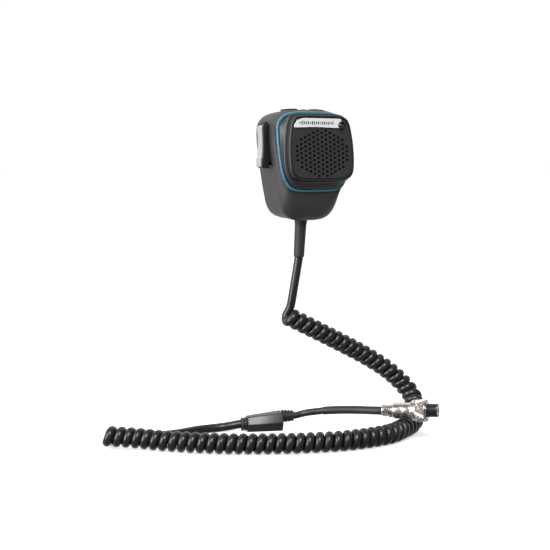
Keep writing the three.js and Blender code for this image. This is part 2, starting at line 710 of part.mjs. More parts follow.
// ---------- top buttons and their switches ----------
for (const [name, x] of [
  ["up", BUTTON_X],
  ["down", -BUTTON_X],
]) {
  const y0 = -BUTTON_MID_DEPTH - BUTTON_WIDTH / 2;
  const y1 = -BUTTON_MID_DEPTH + BUTTON_WIDTH / 2;
  const underside = HOUSING_TOP - WALL - 2;
  const x0 = x - BUTTON_LENGTH / 2;
  const x1 = x + BUTTON_LENGTH / 2;
  const top = HOUSING_TOP + BUTTON_PROUD;
  const round = 0.7; // the crown is this much smaller all round
  const lip = 0.9; // and the flange this much larger
  const cap = box(x0, x1, y0, y1, underside - 0.5, top - 0.5);
  const crown = box(x0 + round, x1 - round, y0 + round, y1 - round, top - 1, top);
  const flange = box(x0 - lip, x1 + lip, y0 - lip, y1 + lip, underside - 1.3, underside - 0.3);
  const stemY = -BUTTON_MID_DEPTH - 1.5;
  const stem = box(x - 1.5, x + 1.5, stemY, stemY + 3, underside - 2.4, underside - 1);
  add(name + "_button", cap.add(crown).add(flange).add(stem), blackPlastic);
  const switchTop = underside - 2.4 - BUTTON_TRAVEL - GAP;
  const can = box(x - 3, x + 3, -BUTTON_MID_DEPTH - 3, -BUTTON_MID_DEPTH + 3, switchTop - 4, switchTop);
  add(name + "_switch", can, steel);
}

// ---------- inside the housing ----------
{
  const y0 = -BOARD_DEPTH - BOARD_THICK;
  const side = BOARD_WIDTH / 2;
  add("circuit_board", box(-side, side, y0, -BOARD_DEPTH, BOARD_BOTTOM, BOARD_TOP), boardGreen);
}
const CAPSULE_FACE = CLOTH_FACE - CLOTH_THICK - GAP - 1;
add(
  "microphone_capsule",
  yRod(CAPSULE_RADIUS, CAPSULE_FACE - CAPSULE_LENGTH, CAPSULE_FACE, 0, FIELD_Z, 24),
  silver,
);
{
  const back = CAPSULE_FACE - CAPSULE_LENGTH;
  const outside = CAPSULE_RADIUS + GAP + BOOT_WALL;
  const outer = yRod(outside, back - 2, CAPSULE_FACE + 0.5, 0, FIELD_Z, 24);
  const bore = yRod(CAPSULE_RADIUS + GAP, back - GAP, CAPSULE_FACE + 2, 0, FIELD_Z, 24);
  const wires = yRod(2, back - 4, CAPSULE_FACE, 0, FIELD_Z, 12);
  add("capsule_boot", outer.subtract(bore).subtract(wires), rubber);
}

// Strain relief: a tapered moulded sleeve below the chin, with a neck through the wall and a flange inside.
const RELIEF_END = HOUSING_BOTTOM - RELIEF_LENGTH;
{
  const flangeFrom = HOUSING_BOTTOM + WALL + 3 * GAP;
  const inside = turnedZ(
    [
      [0, HOUSING_BOTTOM - 1],
      [RELIEF_TOP_RADIUS, HOUSING_BOTTOM - 1],
      [RELIEF_TOP_RADIUS, flangeFrom],
      [RELIEF_TOP_RADIUS + 2, flangeFrom],
      [RELIEF_TOP_RADIUS + 2, flangeFrom + 2],
      [0, flangeFrom + 2],
    ],
    20,
  ).translate(0, -RELIEF_DEPTH, 0);
  const sleeve = turnedZ(
    [
      [0, -RELIEF_LENGTH],
      [RELIEF_END_RADIUS, -RELIEF_LENGTH],
      [RELIEF_END_RADIUS + 0.1, -RELIEF_LENGTH + 1.4],
      [RELIEF_TOP_RADIUS, -2],
      [RELIEF_TOP_RADIUS, 0],
      [0, 0],
    ],
    20,
  );
  const axis = new THREE.Vector3(RELIEF_LEAN_X, RELIEF_LEAN_Y, -RELIEF_LENGTH).normalize();
  const lean = new THREE.Quaternion().setFromUnitVectors(new THREE.Vector3(0, 0, -1), axis);
  sleeve.applyQuaternion(lean).translate(0, -RELIEF_DEPTH, HOUSING_BOTTOM - 2 * GAP);
  add("strain_relief", toSolid(inside).add(toSolid(sleeve)), rubber);
}
// Cord clamp: a saddle over the cord just inside the flange.
{
  const z0 = HOUSING_BOTTOM + WALL + 4 * GAP + 2.3;
  const bar = box(-9, 9, -RELIEF_DEPTH - 5, -RELIEF_DEPTH + 5, z0, z0 + 4);
  const groove = toSolid(turnedZ(rod(WIRE_RADIUS + GAP, z0 - 1, z0 + 5), 16).translate(0, -RELIEF_DEPTH, 0));
  add("cord_clamp", bar.subtract(groove), blackPlastic);
}

// ---------- cord ----------
add("mic_lead", tube(routeOf(LEAD_POINTS), WIRE_RADIUS, 10, 8), rubber);
add("curly_cord", tube(routeOf(COIL_POINTS), COIL_RADIUS, 12, 44), rubber);
add("box_lead", tube(routeOf(RETURN_POINTS), WIRE_RADIUS, 10, 12), rubber);

// ---------- in-line box ----------
// Its own frame: X along the box towards the plug, origin at its middle. Two six-sided half shells meet on a
// level parting plane, with a small board inside and a ribbed relief at each end.
const boxGroup = new THREE.Group();
boxGroup.position.set(...BOX_MIDDLE);
boxGroup.rotation.set(0, 0, THREE.MathUtils.degToRad(BOX_YAW), "ZYX");
group.add(boxGroup);

// A six-sided section in Y and Z, of a width and a height.
const hexagon = (width, height) => [
  [-width / 2, 0],
  [-width / 2 + BOX_CHAMFER, -height / 2],
  [width / 2 - BOX_CHAMFER, -height / 2],
  [width / 2, 0],
  [width / 2 - BOX_CHAMFER, height / 2],
  [-width / 2 + BOX_CHAMFER, height / 2],
];
// A prism between two such sections at x0 and x1, each inset by a wall.
function wedge(x0, x1, inset) {
  const floor = BOX_WIDE_END[1] / 2; // both ends stand on the same floor
  const ends = [
    [x0, BOX_NARROW_END],
    [x1, BOX_WIDE_END],
  ].map(([x, [w, h]]) =>
    hexagon(w - 2 * inset, h - 2 * inset).map(([y, z]) => [x, y, z - floor + h / 2]),
  );
  const positions = [];
  const six = 6;
  for (let k = 0; k < six; k++) {
    const [a, b] = [ends[0][k], ends[0][(k + 1) % six]];
    const [c, d] = [ends[1][(k + 1) % six], ends[1][k]];
    positions.push(...a, ...b, ...c, ...a, ...c, ...d);
  }
  for (let k = 1; k < six - 1; k++) {
    positions.push(...ends[0][0], ...ends[0][k + 1], ...ends[0][k]);
    positions.push(...ends[1][0], ...ends[1][k], ...ends[1][k + 1]);
  }
  const g = new THREE.BufferGeometry();
  g.setAttribute("position", new THREE.Float32BufferAttribute(positions, 3));
  return toSolid(g);
}
const BOX_HALF = BOX_LENGTH / 2;
const NARROW_AXIS_Z = (BOX_NARROW_END[1] - BOX_WIDE_END[1]) / 2;
{
  const room = wedge(-BOX_HALF + BOX_WALL, BOX_HALF - BOX_WALL, BOX_WALL);
  const shell = wedge(-BOX_HALF, BOX_HALF, 0).subtract(room);
  const neck = RELIEF_ROOT + GAP;
  const deep = BOX_WALL + 2;
  const inlet = turnedX(rod(neck, -BOX_HALF - 2, -BOX_HALF + deep), 16).translate(0, 0, NARROW_AXIS_Z);
  const outlet = turnedX(rod(neck, BOX_HALF - deep, BOX_HALF + 2), 16).translate(0, 0, OUTLET_RISE);
  const whole = shell.subtract(toSolid(inlet)).subtract(toSolid(outlet));
  const big = BOX_LENGTH;
  const parting = NARROW_AXIS_Z / 2;
  const below = box(-big, big, -big, big, -big, parting - GAP / 2);
  const above = box(-big, big, -big, big, parting + GAP / 2, big);
  add("box_lower_shell", whole.intersect(below), blackPlastic, boxGroup);
  add("box_upper_shell", whole.intersect(above), blackPlastic, boxGroup);
  add("box_board", box(-BOX_HALF + 6, BOX_HALF - 6, -3.4, 3.4, -2.2, -1), boardGreen, boxGroup);
}
// A ribbed relief along +X: its neck goes through the box wall, whose face is at 0, and its ribs are outside.
function ribbed(length, root, tip, ribs) {
  const profile = [
    [0, -BOX_WALL - 1.6],
    [root, -BOX_WALL - 1.6],
    [root, GAP],
  ];
  const pitch = length / ribs;
  for (let k = 0; k < ribs; k++) {
    const radius = root + 1.5 + ((tip - root) * k) / ribs;
    profile.push([radius, k * pitch + GAP], [radius - 0.2, (k + 0.62) * pitch]);
    profile.push([radius - 1.3, (k + 0.64) * pitch]);
    profile.push([radius - 1.3, (k + 0.98) * pitch]);
  }
  profile.push([0, (ribs - 0.02) * pitch]);
  return turnedX(profile, 16);
}
{
  const out = ribbed(BOX_RELIEF_LENGTH, RELIEF_ROOT, RELIEF_ROOT + THIN_RADIUS - WIRE_RADIUS, 4);
  out.translate(BOX_HALF, 0, OUTLET_RISE);
  add("box_relief_out", toSolid(out), rubber, boxGroup);
  const into = ribbed(INLET_RELIEF_LENGTH, RELIEF_ROOT, RELIEF_ROOT, 2).rotateZ(Math.PI);
  into.translate(-BOX_HALF, 0, NARROW_AXIS_Z);
  add("box_relief_in", toSolid(into), rubber, boxGroup);
}

// ---------- thin cable to the plug, with its sleeve ----------
{
  const route = routeOf(THIN_POINTS);
  const half = (from, to) => {
    const picks = Array.from({ length: 7 }, (_, k) => route.getPointAt(from + ((to - from) * k) / 6));
    return new THREE.CatmullRomCurve3(picks, false, "centripetal");
  };
  const gapShare = GAP / route.getLength();
  add("plug_cable", tube(half(0, SLEEVE_FROM - gapShare), THIN_RADIUS, 10, 6), rubber);
  add("cable_sleeve", tube(half(SLEEVE_FROM, 1), SLEEVE_RADIUS, 10, 8), rubber);
}

// ---------- plug ----------
// Its own frame: X along the plug towards its contacts, origin where the cable goes in.
const plug = new THREE.Group();
plug.position.set(...PLUG_REAR);
plug.rotation.set(0, -THREE.MathUtils.degToRad(PLUG_NOSE_UP), THREE.MathUtils.degToRad(PLUG_YAW), "ZYX");
group.add(plug);

// Cable clamp: a collar with two flat ears, split into the shell's trough and a loose saddle.
{
  const collar = toSolid(turnedX(pipe(SLEEVE_RADIUS + GAP, 4.6, GAP, CLAMP_LENGTH), 20));
  const ears = box(1.2, CLAMP_LENGTH - 1.6, -6.9, 6.9, GAP / 2, 2.2).subtract(
    toSolid(turnedX(rod(SLEEVE_RADIUS + GAP, 0, CLAMP_LENGTH + 1), 20)),
  );
  const upper = box(-1, CLAMP_LENGTH + 1, -9, 9, GAP / 2, 9);
  const screwX = (1.2 + CLAMP_LENGTH - 1.6) / 2;
  let saddle = collar.intersect(upper).add(ears);
  let trough = collar.subtract(box(-1, CLAMP_LENGTH + 1, -9, 9, -GAP / 2, 9));
  trough = trough.add(
    box(1.2, CLAMP_LENGTH - 1.6, -6.9, 6.9, -2, -GAP / 2).subtract(
      toSolid(turnedX(rod(SLEEVE_RADIUS + GAP, 0, CLAMP_LENGTH + 1), 20)),
    ),
  );
  [-5.35, 5.35].forEach((y, k) => {
    const at = (g) => toSolid(g.translate(screwX, y, 0));
    saddle = saddle.subtract(at(turnedZ(rod(0.8 + GAP, -1, 4), 10)));
    trough = trough.subtract(at(turnedZ(rod(0.8 + GAP, -4, 1), 10)));
    const screw = at(turnedZ(rod(0.8, -3, 3), 10)).add(at(turnedZ(rod(1.4, 2.2 + GAP, 3.6), 12)));
    const slot = box(screwX - 2, screwX + 2, y - 0.25, y + 0.25, 3.1, 4);
    add("clamp_screw_" + (k + 1), screw.subtract(slot), steel, plug);
  });
  add("cable_saddle", saddle, nickel, plug);
  // Shell: one turned sleeve with the trough at its rear and a shoulder that keeps the nut on.
  const shell = toSolid(
    turnedX(
      [
        [INSERT_RADIUS + GAP, CLAMP_LENGTH + 3],
        [SLEEVE_RADIUS + GAP, CLAMP_LENGTH + 2.6],
        [SLEEVE_RADIUS + GAP, CLAMP_LENGTH + GAP],
        [4.8, CLAMP_LENGTH + GAP],
        [SHELL_RADIUS, CLAMP_LENGTH + 1.5],
        [SHELL_RADIUS, 16.6],
        [SHELL_RADIUS - 0.5, 16.8],
        [SHELL_RADIUS - 0.5, 17.4],
        [SHELL_RADIUS, 17.6],
        [SHELL_RADIUS, STEP_AT],
        [BARREL_RADIUS, STEP_AT],
        [BARREL_RADIUS, SHELL_END - 1.6],
        [SHOULDER_RADIUS, SHELL_END - 1.4],
        [SHOULDER_RADIUS, SHELL_END],
        [INSERT_RADIUS + GAP, SHELL_END],
        [INSERT_RADIUS + GAP, CLAMP_LENGTH + 3],
      ],
      24,
    ),
  );
  const bridge = box(CLAMP_LENGTH - 1, CLAMP_LENGTH + 2, -3.4, 3.4, -4.55, -SLEEVE_RADIUS - GAP - 0.1);
  const lockHole = toSolid(turnedZ(rod(1 + GAP, 0, 9), 10).translate(20.5, 0, 0));
  add("plug_shell", shell.add(trough).add(bridge).subtract(lockHole), nickel, plug);
  const lock = toSolid(turnedZ(rod(1, INSERT_RADIUS + GAP, SHELL_RADIUS - 0.1), 10).translate(20.5, 0, 0));
  const lockSlot = box(19, 22, -0.2, 0.2, SHELL_RADIUS - 0.5, SHELL_RADIUS + 1);
  add("lock_screw", lock.subtract(lockSlot), steel, plug);
}

// Insert: the black moulded core with its contacts and a keyway.
{
  let core = toSolid(
    turnedX(
      [
        [0, CLAMP_LENGTH + 6],
        [INSERT_RADIUS, CLAMP_LENGTH + 6],
        [INSERT_RADIUS, PLUG_LENGTH - 0.4],
        [INSERT_RADIUS - 0.4, PLUG_LENGTH],
        [0, PLUG_LENGTH],
      ],
      24,
    ),
  );
  const keyway = box(SHELL_END + 0.6, PLUG_LENGTH + 1, -0.8, 0.8, INSERT_RADIUS - 0.7, INSERT_RADIUS + 1);
  core = core.subtract(keyway);
  for (let k = 0; k < CONTACTS; k++) {
    const angle = ((k + 0.5) * 2 * Math.PI) / CONTACTS;
    const [y, z] = [CONTACT_CIRCLE * Math.cos(angle), CONTACT_CIRCLE * Math.sin(angle)];
    const place = (g) => toSolid(g.translate(0, y, z));
    core = core.subtract(place(turnedX(rod(1 + GAP, CLAMP_LENGTH + 4, PLUG_LENGTH + 1), 12)));
    const pin = place(turnedX(rod(1, CLAMP_LENGTH + 4.5, PLUG_LENGTH + 0.2), 12));
    const socket = place(turnedX(rod(0.55, PLUG_LENGTH - 6, PLUG_LENGTH + 1), 8));
    add("plug_contact_" + (k + 1), pin.subtract(socket), gold, plug);
  }
  add("plug_insert", core, blackPlastic, plug);
}

// Coupling nut: knurled outside, a rear wall that rides on the barrel, and a snap ring inside it. It rests
// against the shell's step and slides forwards to the shoulder.
{
  const from = STEP_AT + GAP;
  const to = from + NUT_LENGTH;
  const bore = BARREL_RADIUS + 0.45;
  const nut = toSolid(
    turnedX(
      [
        [bore, from],
        [NUT_RADIUS - 1.6, from],
        [NUT_RADIUS - 0.7, from + 0.9],
        [NUT_RADIUS - 0.7, from + 3.4],
        [NUT_RADIUS, from + 3.8],
        [NUT_RADIUS, to - 0.6],
        [NUT_RADIUS - 0.6, to],
        [NUT_BORE, to],
        [NUT_BORE, from + NUT_BACK],
        [bore, from + NUT_BACK],
        [bore, from],
      ],
      28,
    ),
  );
  add("coupling_nut", nut, nickel, plug);
  const ringFrom = from + NUT_BACK + GAP;
  const ring = turnedX(pipe(BARREL_RADIUS + 0.35, NUT_BORE - 0.5, ringFrom, ringFrom + 0.8), 24);
  add("nut_snap_ring", toSolid(ring), steel, plug);
}

export default group;
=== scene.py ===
import math

import bmesh
import bpy
from mathutils import Euler, Matrix, Vector


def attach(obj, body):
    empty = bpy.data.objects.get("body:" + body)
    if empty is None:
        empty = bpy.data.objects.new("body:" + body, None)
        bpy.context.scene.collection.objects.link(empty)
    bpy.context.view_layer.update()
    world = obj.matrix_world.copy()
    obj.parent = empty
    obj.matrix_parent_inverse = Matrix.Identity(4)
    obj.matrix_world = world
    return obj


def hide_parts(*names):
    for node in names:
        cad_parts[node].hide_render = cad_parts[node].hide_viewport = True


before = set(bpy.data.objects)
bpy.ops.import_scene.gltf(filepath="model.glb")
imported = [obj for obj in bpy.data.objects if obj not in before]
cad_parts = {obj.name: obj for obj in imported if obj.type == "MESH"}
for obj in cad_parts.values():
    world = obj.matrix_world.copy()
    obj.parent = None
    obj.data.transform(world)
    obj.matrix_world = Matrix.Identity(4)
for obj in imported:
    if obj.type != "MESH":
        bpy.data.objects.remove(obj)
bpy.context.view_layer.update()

# ---------- Rear cover ----------
# The back half of the housing is a shallow dish of injection-moulded ABS, about 2 mm thick, with a rounded
# rim. The mould is spark-eroded, which leaves an even, very fine orange-peel that takes the shine off.
# Depths are counted forwards from the face of the hang-up stud, in millimetres, as everything here is.

def colour(hex_text):
    parts = [int(hex_text[i:i + 2], 16) / 255 for i in (1, 3, 5)]
    return [c / 12.92 if c <= 0.04045 else ((c + 0.055) / 1.055) ** 2.4 for c in parts] + [1]


def add_node(tree, kind, links=None, **settings):
    made = tree.nodes.new(kind)
    for key, value in settings.items():
        if hasattr(made, key):
            setattr(made, key, value)
        else:
            made.inputs[key.replace("_", " ")].default_value = value
    for socket, source in (links or {}).items():
        tree.links.new(source, made.inputs[socket])
    return made


def new_material(name, **settings):
    made = bpy.data.materials.new(name)
    made.use_nodes = True
    tree = made.node_tree
    tree.nodes.clear()
    shader = add_node(tree, "ShaderNodeBsdfPrincipled", **settings)
    add_node(tree, "ShaderNodeOutputMaterial", {"Surface": shader.outputs["BSDF"]})
    return made, tree, shader


# What a pattern does to a surface: tones gives its two colours, shine the roughness from its smoothest to its
# dullest spots, and relief the strength and the depth in metres of a bump.
def finish_surface(tree, shader, tones=None, shine=None, relief=None):
    if tones:
        pattern, tone, second_tone = tones
        blend = add_node(tree, "ShaderNodeMix", {0: pattern}, data_type="RGBA")
        blend.inputs[6].default_value, blend.inputs[7].default_value = colour(tone), colour(second_tone)
        tree.links.new(blend.outputs[2], shader.inputs["Base Color"])
    if shine:
        pattern, smoothest, dullest = shine
        spread = add_node(tree, "ShaderNodeMapRange", {"Value": pattern}, To_Min=smoothest, To_Max=dullest)
        tree.links.new(spread.outputs["Result"], shader.inputs["Roughness"])
    if relief:
        pattern, strength, depth = relief
        bump = add_node(tree, "ShaderNodeBump", {"Height": pattern}, Strength=strength, Distance=depth)
        tree.links.new(bump.outputs["Normal"], shader.inputs["Normal"])


# Moulded plastic: two close tones in soft patches, a shine that varies a little with handling, and the
# texture of the mould as a bump. Grain and patch are sizes in millimetres.
def moulded_plastic(name, tone, second_tone, shine, dull, grain, grain_depth, patch=14):
    made, tree, shader = new_material(name, IOR=1.53)
    spot = {"Vector": add_node(tree, "ShaderNodeTexCoord").outputs["Object"]}
    patches = add_node(tree, "ShaderNodeTexNoise", spot, Scale=1000 / patch, Detail=3).outputs["Fac"]
    peel = add_node(tree, "ShaderNodeTexNoise", spot, Scale=1000 / grain, Detail=2).outputs["Fac"]
    finish_surface(
        tree, shader, (patches, tone, second_tone), (patches, shine, dull), (peel, 0.5, grain_depth / 1000)
    )
    return made


# The real peel is about 0.1 mm across. It is drawn at 0.5 mm, so that it shows at all.
charcoal_abs = moulded_plastic("charcoal_abs_spark_eroded", "#2e2e30", "#363638", 0.42, 0.54, 0.5, 0.04)


# A smooth curve through the points, like a bent spline of steel.
def smooth(points, steps, closed=False):
    points = [Vector(p) for p in points]
    count = len(points)
    made = []
    for i in range(count if closed else count - 1):
        b, c = points[i], points[(i + 1) % count]
        a = points[i - 1] if closed or i else 2 * b - c
        d = points[(i + 2) % count] if closed or i + 2 < count else 2 * c - b
        ab, bc, cd = [max((q - p).length, 1e-6) ** 0.5 for p, q in ((a, b), (b, c), (c, d))]
        leave = ((b - a) / ab - (c - a) / (ab + bc) + (c - b) / bc) * bc
        reach = ((c - b) / bc - (d - b) / (bc + cd) + (d - c) / cd) * bc
        for k in range(steps):
            t = k / steps
            made.append(
                b * (2 * t**3 - 3 * t**2 + 1)
                + leave * (t**3 - 2 * t**2 + t)
                + c * (3 * t**2 - 2 * t**3)
                + reach * (t**3 - t**2)
            )
    if not closed:
        made.append(points[-1])
    return made


def evenly(points, count):
    points = points + [points[0]]
    far = [0]
    for a, b in zip(points, points[1:]):
        far.append(far[-1] + (b - a).length)
    made, i = [], 0
    for k in range(count):
        want = far[-1] * k / count
        while far[i + 1] < want:
            i += 1
        made.append(points[i].lerp(points[i + 1], (want - far[i]) / (far[i + 1] - far[i])))
    return made


# An outline of a housing piece, the same on both sides. The shape lists its right edge from the top middle
# down: share of half the width, and share of the height.
def outline(shape, half, top, bottom):
    right = [(u * half, 0, top - v * (top - bottom)) for u, v in shape]
    left = [(-x, y, z) for x, y, z in reversed(right[1:-1])]
    return evenly(smooth(right + left, 10, closed=True), 112)


PALM_SHAPE = [
    (0, 0), (0.535, 0.008), (0.817, 0.045), (0.972, 0.114), (1, 0.205), (0.975, 0.341), (0.887, 0.568),
    (0.777, 0.795), (0.713, 0.886), (0.62, 0.943), (0.465, 0.982), (0.25, 0.998), (0, 1),
]
HALF_WIDTH, TOP, BOTTOM = 35.5, 28.5, -58
LEAN = math.tan(math.radians(4.5))  # the front block leans back at its top


def palm(depth, inset):
    return [
        p + Vector((0, -depth, 0))
        for p in outline(PALM_SHAPE, HALF_WIDTH - inset, TOP - inset, BOTTOM + inset)
    ]


# A skin over a row of outlines: closed by its two ends, or joined last to first for a hollow piece.
def skin(rings, hollow=False):
    count = len(rings[0])
    faces = []
    for s in range(len(rings) if hollow else len(rings) - 1):
        t = (s + 1) % len(rings)
        for k in range(count):
            m = (k + 1) % count
            faces.append((s * count + k, s * count + m, t * count + m, t * count + k))
    if not hollow:
        faces.append(tuple(range(count)))
        faces.append(tuple(range((len(rings) - 1) * count, len(rings) * count)))
    return [p for ring in rings for p in ring], faces


# Outlines in between the given ones, so that the surface flows from one to the next.
def flowing(rings, steps):
    strands = [smooth(strand, steps) for strand in zip(*rings)]
    return [list(ring) for ring in zip(*strands)]


# A turned profile, pairs of distance along the axis and radius.
def turned(profile, origin=(0, 0, 0), along=(1, 0, 0), steps=64, hollow=False):
    origin, along = Vector(origin), Vector(along).normalized()
    side = along.orthogonal().normalized()
    other = along.cross(side)
    points, rows, faces = [], [], []
    for far, radius in profile:
        centre = origin + along * far
        turns = steps if radius > 1e-6 else 1
        rows.append([len(points) + k for k in range(turns)])
        for k in range(turns):
            angle = 2 * math.pi * k / steps
            points.append(centre + (side * math.cos(angle) + other * math.sin(angle)) * radius)
    for low, high in zip(rows, rows[1:] + (rows[:1] if hollow else [])):
        if low is high or len(low) + len(high) == 2:
            continue
        for k in range(steps):
            corners = [
                low[k % len(low)], low[(k + 1) % len(low)], high[(k + 1) % len(high)], high[k % len(high)]
            ]
            faces.append(tuple(dict.fromkeys(corners)))
    return points, faces


def rod(start, end, radius, *how):
    return turned([(start, 0), (start, radius), (end, radius), (end, 0)], *how)


# Rounds the corners of a profile, as the nose of the cutting tool does.
def soften(profile, radius, hollow=False):
    points = [Vector(p) for p in profile]
    if hollow:
        corners = list(zip(points[-1:] + points[:-1], points, points[1:] + points[:1]))
    else:
        corners = list(zip(points, points[1:], points[2:]))
    made = []
    for a, b, c in corners:
        reach = min(radius, (a - b).length * 0.45, (c - b).length * 0.45)
        start, end = b + (a - b).normalized() * reach, b + (c - b).normalized() * reach
        for t in (0, 0.33, 0.67, 1):
            made.append(start * (1 - t) ** 2 + b * 2 * t * (1 - t) + end * t * t)
    return made if hollow else points[:1] + made + points[-1:]


def block(low, high):
    (x0, y0, z0), (x1, y1, z1) = low, high
    points = [Vector((x, y, z)) for x in (x0, x1) for y in (y0, y1) for z in (z0, z1)]
    return points, [(0, 1, 3, 2), (4, 6, 7, 5), (0, 4, 5, 1), (2, 3, 7, 6), (0, 2, 6, 4), (1, 5, 7, 3)]


def solid_object(name, parts, place):
    sheet = bmesh.new()
    for points, faces in parts:
        made = [sheet.verts.new((place @ Vector(p)) * 0.001) for p in points]
        for face in faces:
            sheet.faces.new([made[k] for k in face])
    bmesh.ops.recalc_face_normals(sheet, faces=sheet.faces)
    mesh = bpy.data.meshes.new(name)
    sheet.to_mesh(mesh)
    sheet.free()
    piece = bpy.data.objects.new(name, mesh)
    bpy.context.scene.collection.objects.link(piece)
    return piece


def cut_away(piece, tool):
    boolean = piece.modifiers.new("cut", "BOOLEAN")
    boolean.operation, boolean.solver, boolean.object = "DIFFERENCE", "EXACT", tool
    return boolean


# Turns what the modifiers make into the piece's own mesh.
def settle(piece):
    bpy.context.view_layer.update()
    done = bpy.data.meshes.new_from_object(piece.evaluated_get(bpy.context.evaluated_depsgraph_get()))
    piece.modifiers.clear()
    piece.data = done


# Makes a piece from closed parts in millimetres: cuts out of it what is cut, rounds its edges, and fixes it
# to its body in place of the plain nodes it stands for.
def make_piece(
    name, parts, material, replaced=(), body="microphone", cut=(), edge=0, place=Matrix(), crease=32
):
    piece = solid_object(name, parts, place)
    tool = None
    if cut:
        tool = solid_object(name + "_cut", cut, place)
        cut_away(piece, tool)
    if edge:
        bevel = piece.modifiers.new("edge", "BEVEL")
        bevel.width, bevel.segments, bevel.limit_method = edge * 0.001, 3, "ANGLE"
        bevel.angle_limit = math.radians(28)
    if piece.modifiers:
        settle(piece)
    if tool:
        bpy.data.objects.remove(tool)
    fix(piece, material, replaced, body, crease)
    return piece


def fix(piece, material, replaced, body, crease=32):
    piece.data.materials.clear()
    piece.data.materials.append(material)
    piece.data.shade_smooth()
    piece.data.set_sharp_from_angle(angle=math.radians(crease))
    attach(piece, body)
    if replaced:
        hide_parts(*replaced)


COVER_SCREWS = [(-26.5, 19), (26.5, 19), (-15.5, -47), (15.5, -47)]
back_edge = flowing([palm(6, 5.4), palm(6.15, 4.2), palm(6.8, 2.9), palm(8, 1.9), palm(9.4, 1.3)], 3)
dish = back_edge + [palm(9.85, 1.35), palm(9.85, 3.4), palm(7.9, 5.4)]
seats = [rod(-1, 2.2, 2.9, (x, -6, z), (0, -1, 0), 32) for x, z in COVER_SCREWS]
make_piece(
    "rear_cover_shell",
    [skin(dish)],
    charcoal_abs,
    ["rear_cover"],
    cut=seats + [rod(-1, 5, 2.9, (0, -6, 0), (0, -1, 0), 48)],
)

# ---------- Cover screws ----------
# Four self-tapping screws with pan heads and a cross recess, of zinc-plated steel. The plating is thin, and
# shows the forging of the head as a soft unevenness.
zinc_steel, tree, shader = new_material("zinc_plated_steel", Metallic=1)
place = add_node(tree, "ShaderNodeTexCoord")
forged = add_node(tree, "ShaderNodeTexNoise", {"Vector": place.outputs["Object"]}, Scale=900, Detail=4)
uneven = forged.outputs["Fac"]
finish_surface(tree, shader, (uneven, "#8f9093", "#b4b5b8"), (uneven, 0.25, 0.45), (uneven, 0.2, 0.00003))


# A node tree whose inputs are named for the sizes of what it makes.
def new_tree(name, **sizes):
    made = bpy.data.node_groups.new(name, "GeometryNodeTree")
    made.interface.new_socket("Geometry", in_out="INPUT", socket_type="NodeSocketGeometry")
    made.interface.new_socket("Geometry", in_out="OUTPUT", socket_type="NodeSocketGeometry")
    for label, kind in sizes.items():
        made.interface.new_socket(label.replace("_", " "), in_out="INPUT", socket_type="NodeSocket" + kind)
    return made, add_node(made, "NodeGroupInput")


def close_tree(tree, geometry, given):
    single = add_node(tree, "GeometryNodeRealizeInstances", {"Geometry": geometry})
    painted = add_node(
        tree, "GeometryNodeSetMaterial", {"Geometry": single.outputs[0], "Material": given.outputs["Finish"]}
    )
    add_node(tree, "NodeGroupOutput", {0: painted.outputs[0]})


def grow(piece, tree, **values):
    modifier = piece.modifiers.new("grow", "NODES")
    modifier.node_group = tree
    for socket in tree.interface.items_tree:
        key = socket.name.replace(" ", "_")
        if socket.in_out == "INPUT" and key in values:
            modifier[socket.identifier] = values[key]
    settle(piece)


screw_set, given = new_tree("screw_set", Screw="Object", Finish="Material")
one_screw = add_node(screw_set, "GeometryNodeObjectInfo", {"Object": given.outputs["Screw"]})
driven = add_node(
    screw_set,
    "GeometryNodeInstanceOnPoints",
    {"Points": given.outputs["Geometry"], "Instance": one_screw.outputs["Geometry"]},
)
close_tree(screw_set, driven.outputs[0], given)

head = soften([(-12, 0), (-12, 1.1), (-1.6, 1.2), (-1.6, 2.4), (-0.5, 2.4), (0, 1.4), (0, 0)], 0.35)
pattern = solid_object("screw_pattern", [turned(head, (0, -6.4, 0), (0, 1, 0), 32)], Matrix())
cross = [block((-1.5, -7.2, -0.32), (1.5, -5, 0.32)), block((-0.32, -7.2, -1.5), (0.32, -5, 1.5))]
recess = solid_object("screw_recess", cross, Matrix())
cut_away(pattern, recess).use_self = True
settle(pattern)
bpy.data.objects.remove(recess)
heads = solid_object("cover_screw_heads", [([(x, 0, z) for x, z in COVER_SCREWS], [])], Matrix())
grow(heads, screw_set, Screw=pattern, Finish=zinc_steel)
bpy.data.objects.remove(pattern)
fix(
    heads, zinc_steel, ["cover_screw_1", "cover_screw_2", "cover_screw_3", "cover_screw_4"],
    "microphone"
)

# ---------- Hang-up stud ----------
# A turned steel button on a neck, which slips into a forked hanger. Its face is faced off on the lathe, and
# the rings the tool leaves are drawn 0.3 mm apart.
RINGS_PER_METRE = 3300
turned_steel, tree, shader = new_material("turned_steel", Metallic=1, Base_Color=colour("#a4a5a8"))
place = add_node(tree, "ShaderNodeTexCoord")
axes = add_node(tree, "ShaderNodeSeparateXYZ", {0: place.outputs["Object"]})
flat = add_node(tree, "ShaderNodeCombineXYZ", {"X": axes.outputs["X"], "Y": axes.outputs["Z"]})
radius = add_node(tree, "ShaderNodeVectorMath", {0: flat.outputs[0]}, operation="LENGTH")
rings = add_node(tree, "ShaderNodeMath", {0: radius.outputs["Value"]}, operation="MULTIPLY")
rings.inputs[1].default_value = RINGS_PER_METRE
tool_marks = add_node(
    tree, "ShaderNodeTexNoise", {"W": rings.outputs[0]}, noise_dimensions="1D", Scale=1, Detail=2
)
grooves = tool_marks.outputs["Fac"]
finish_surface(tree, shader, shine=(grooves, 0.2, 0.42), relief=(grooves, 0.3, 0.00003))
stud = [(0, 0), (0, 7), (2.4, 7), (2.4, 3.6), (5.7, 3.6), (5.7, 2.6), (11, 2.6), (11, 0)]
make_piece(
    "hang_up_stud", [turned(soften(stud, 0.5), (0, 0, 0), (0, -1, 0), 72)], turned_steel,
    ["hanger_stud"]
)

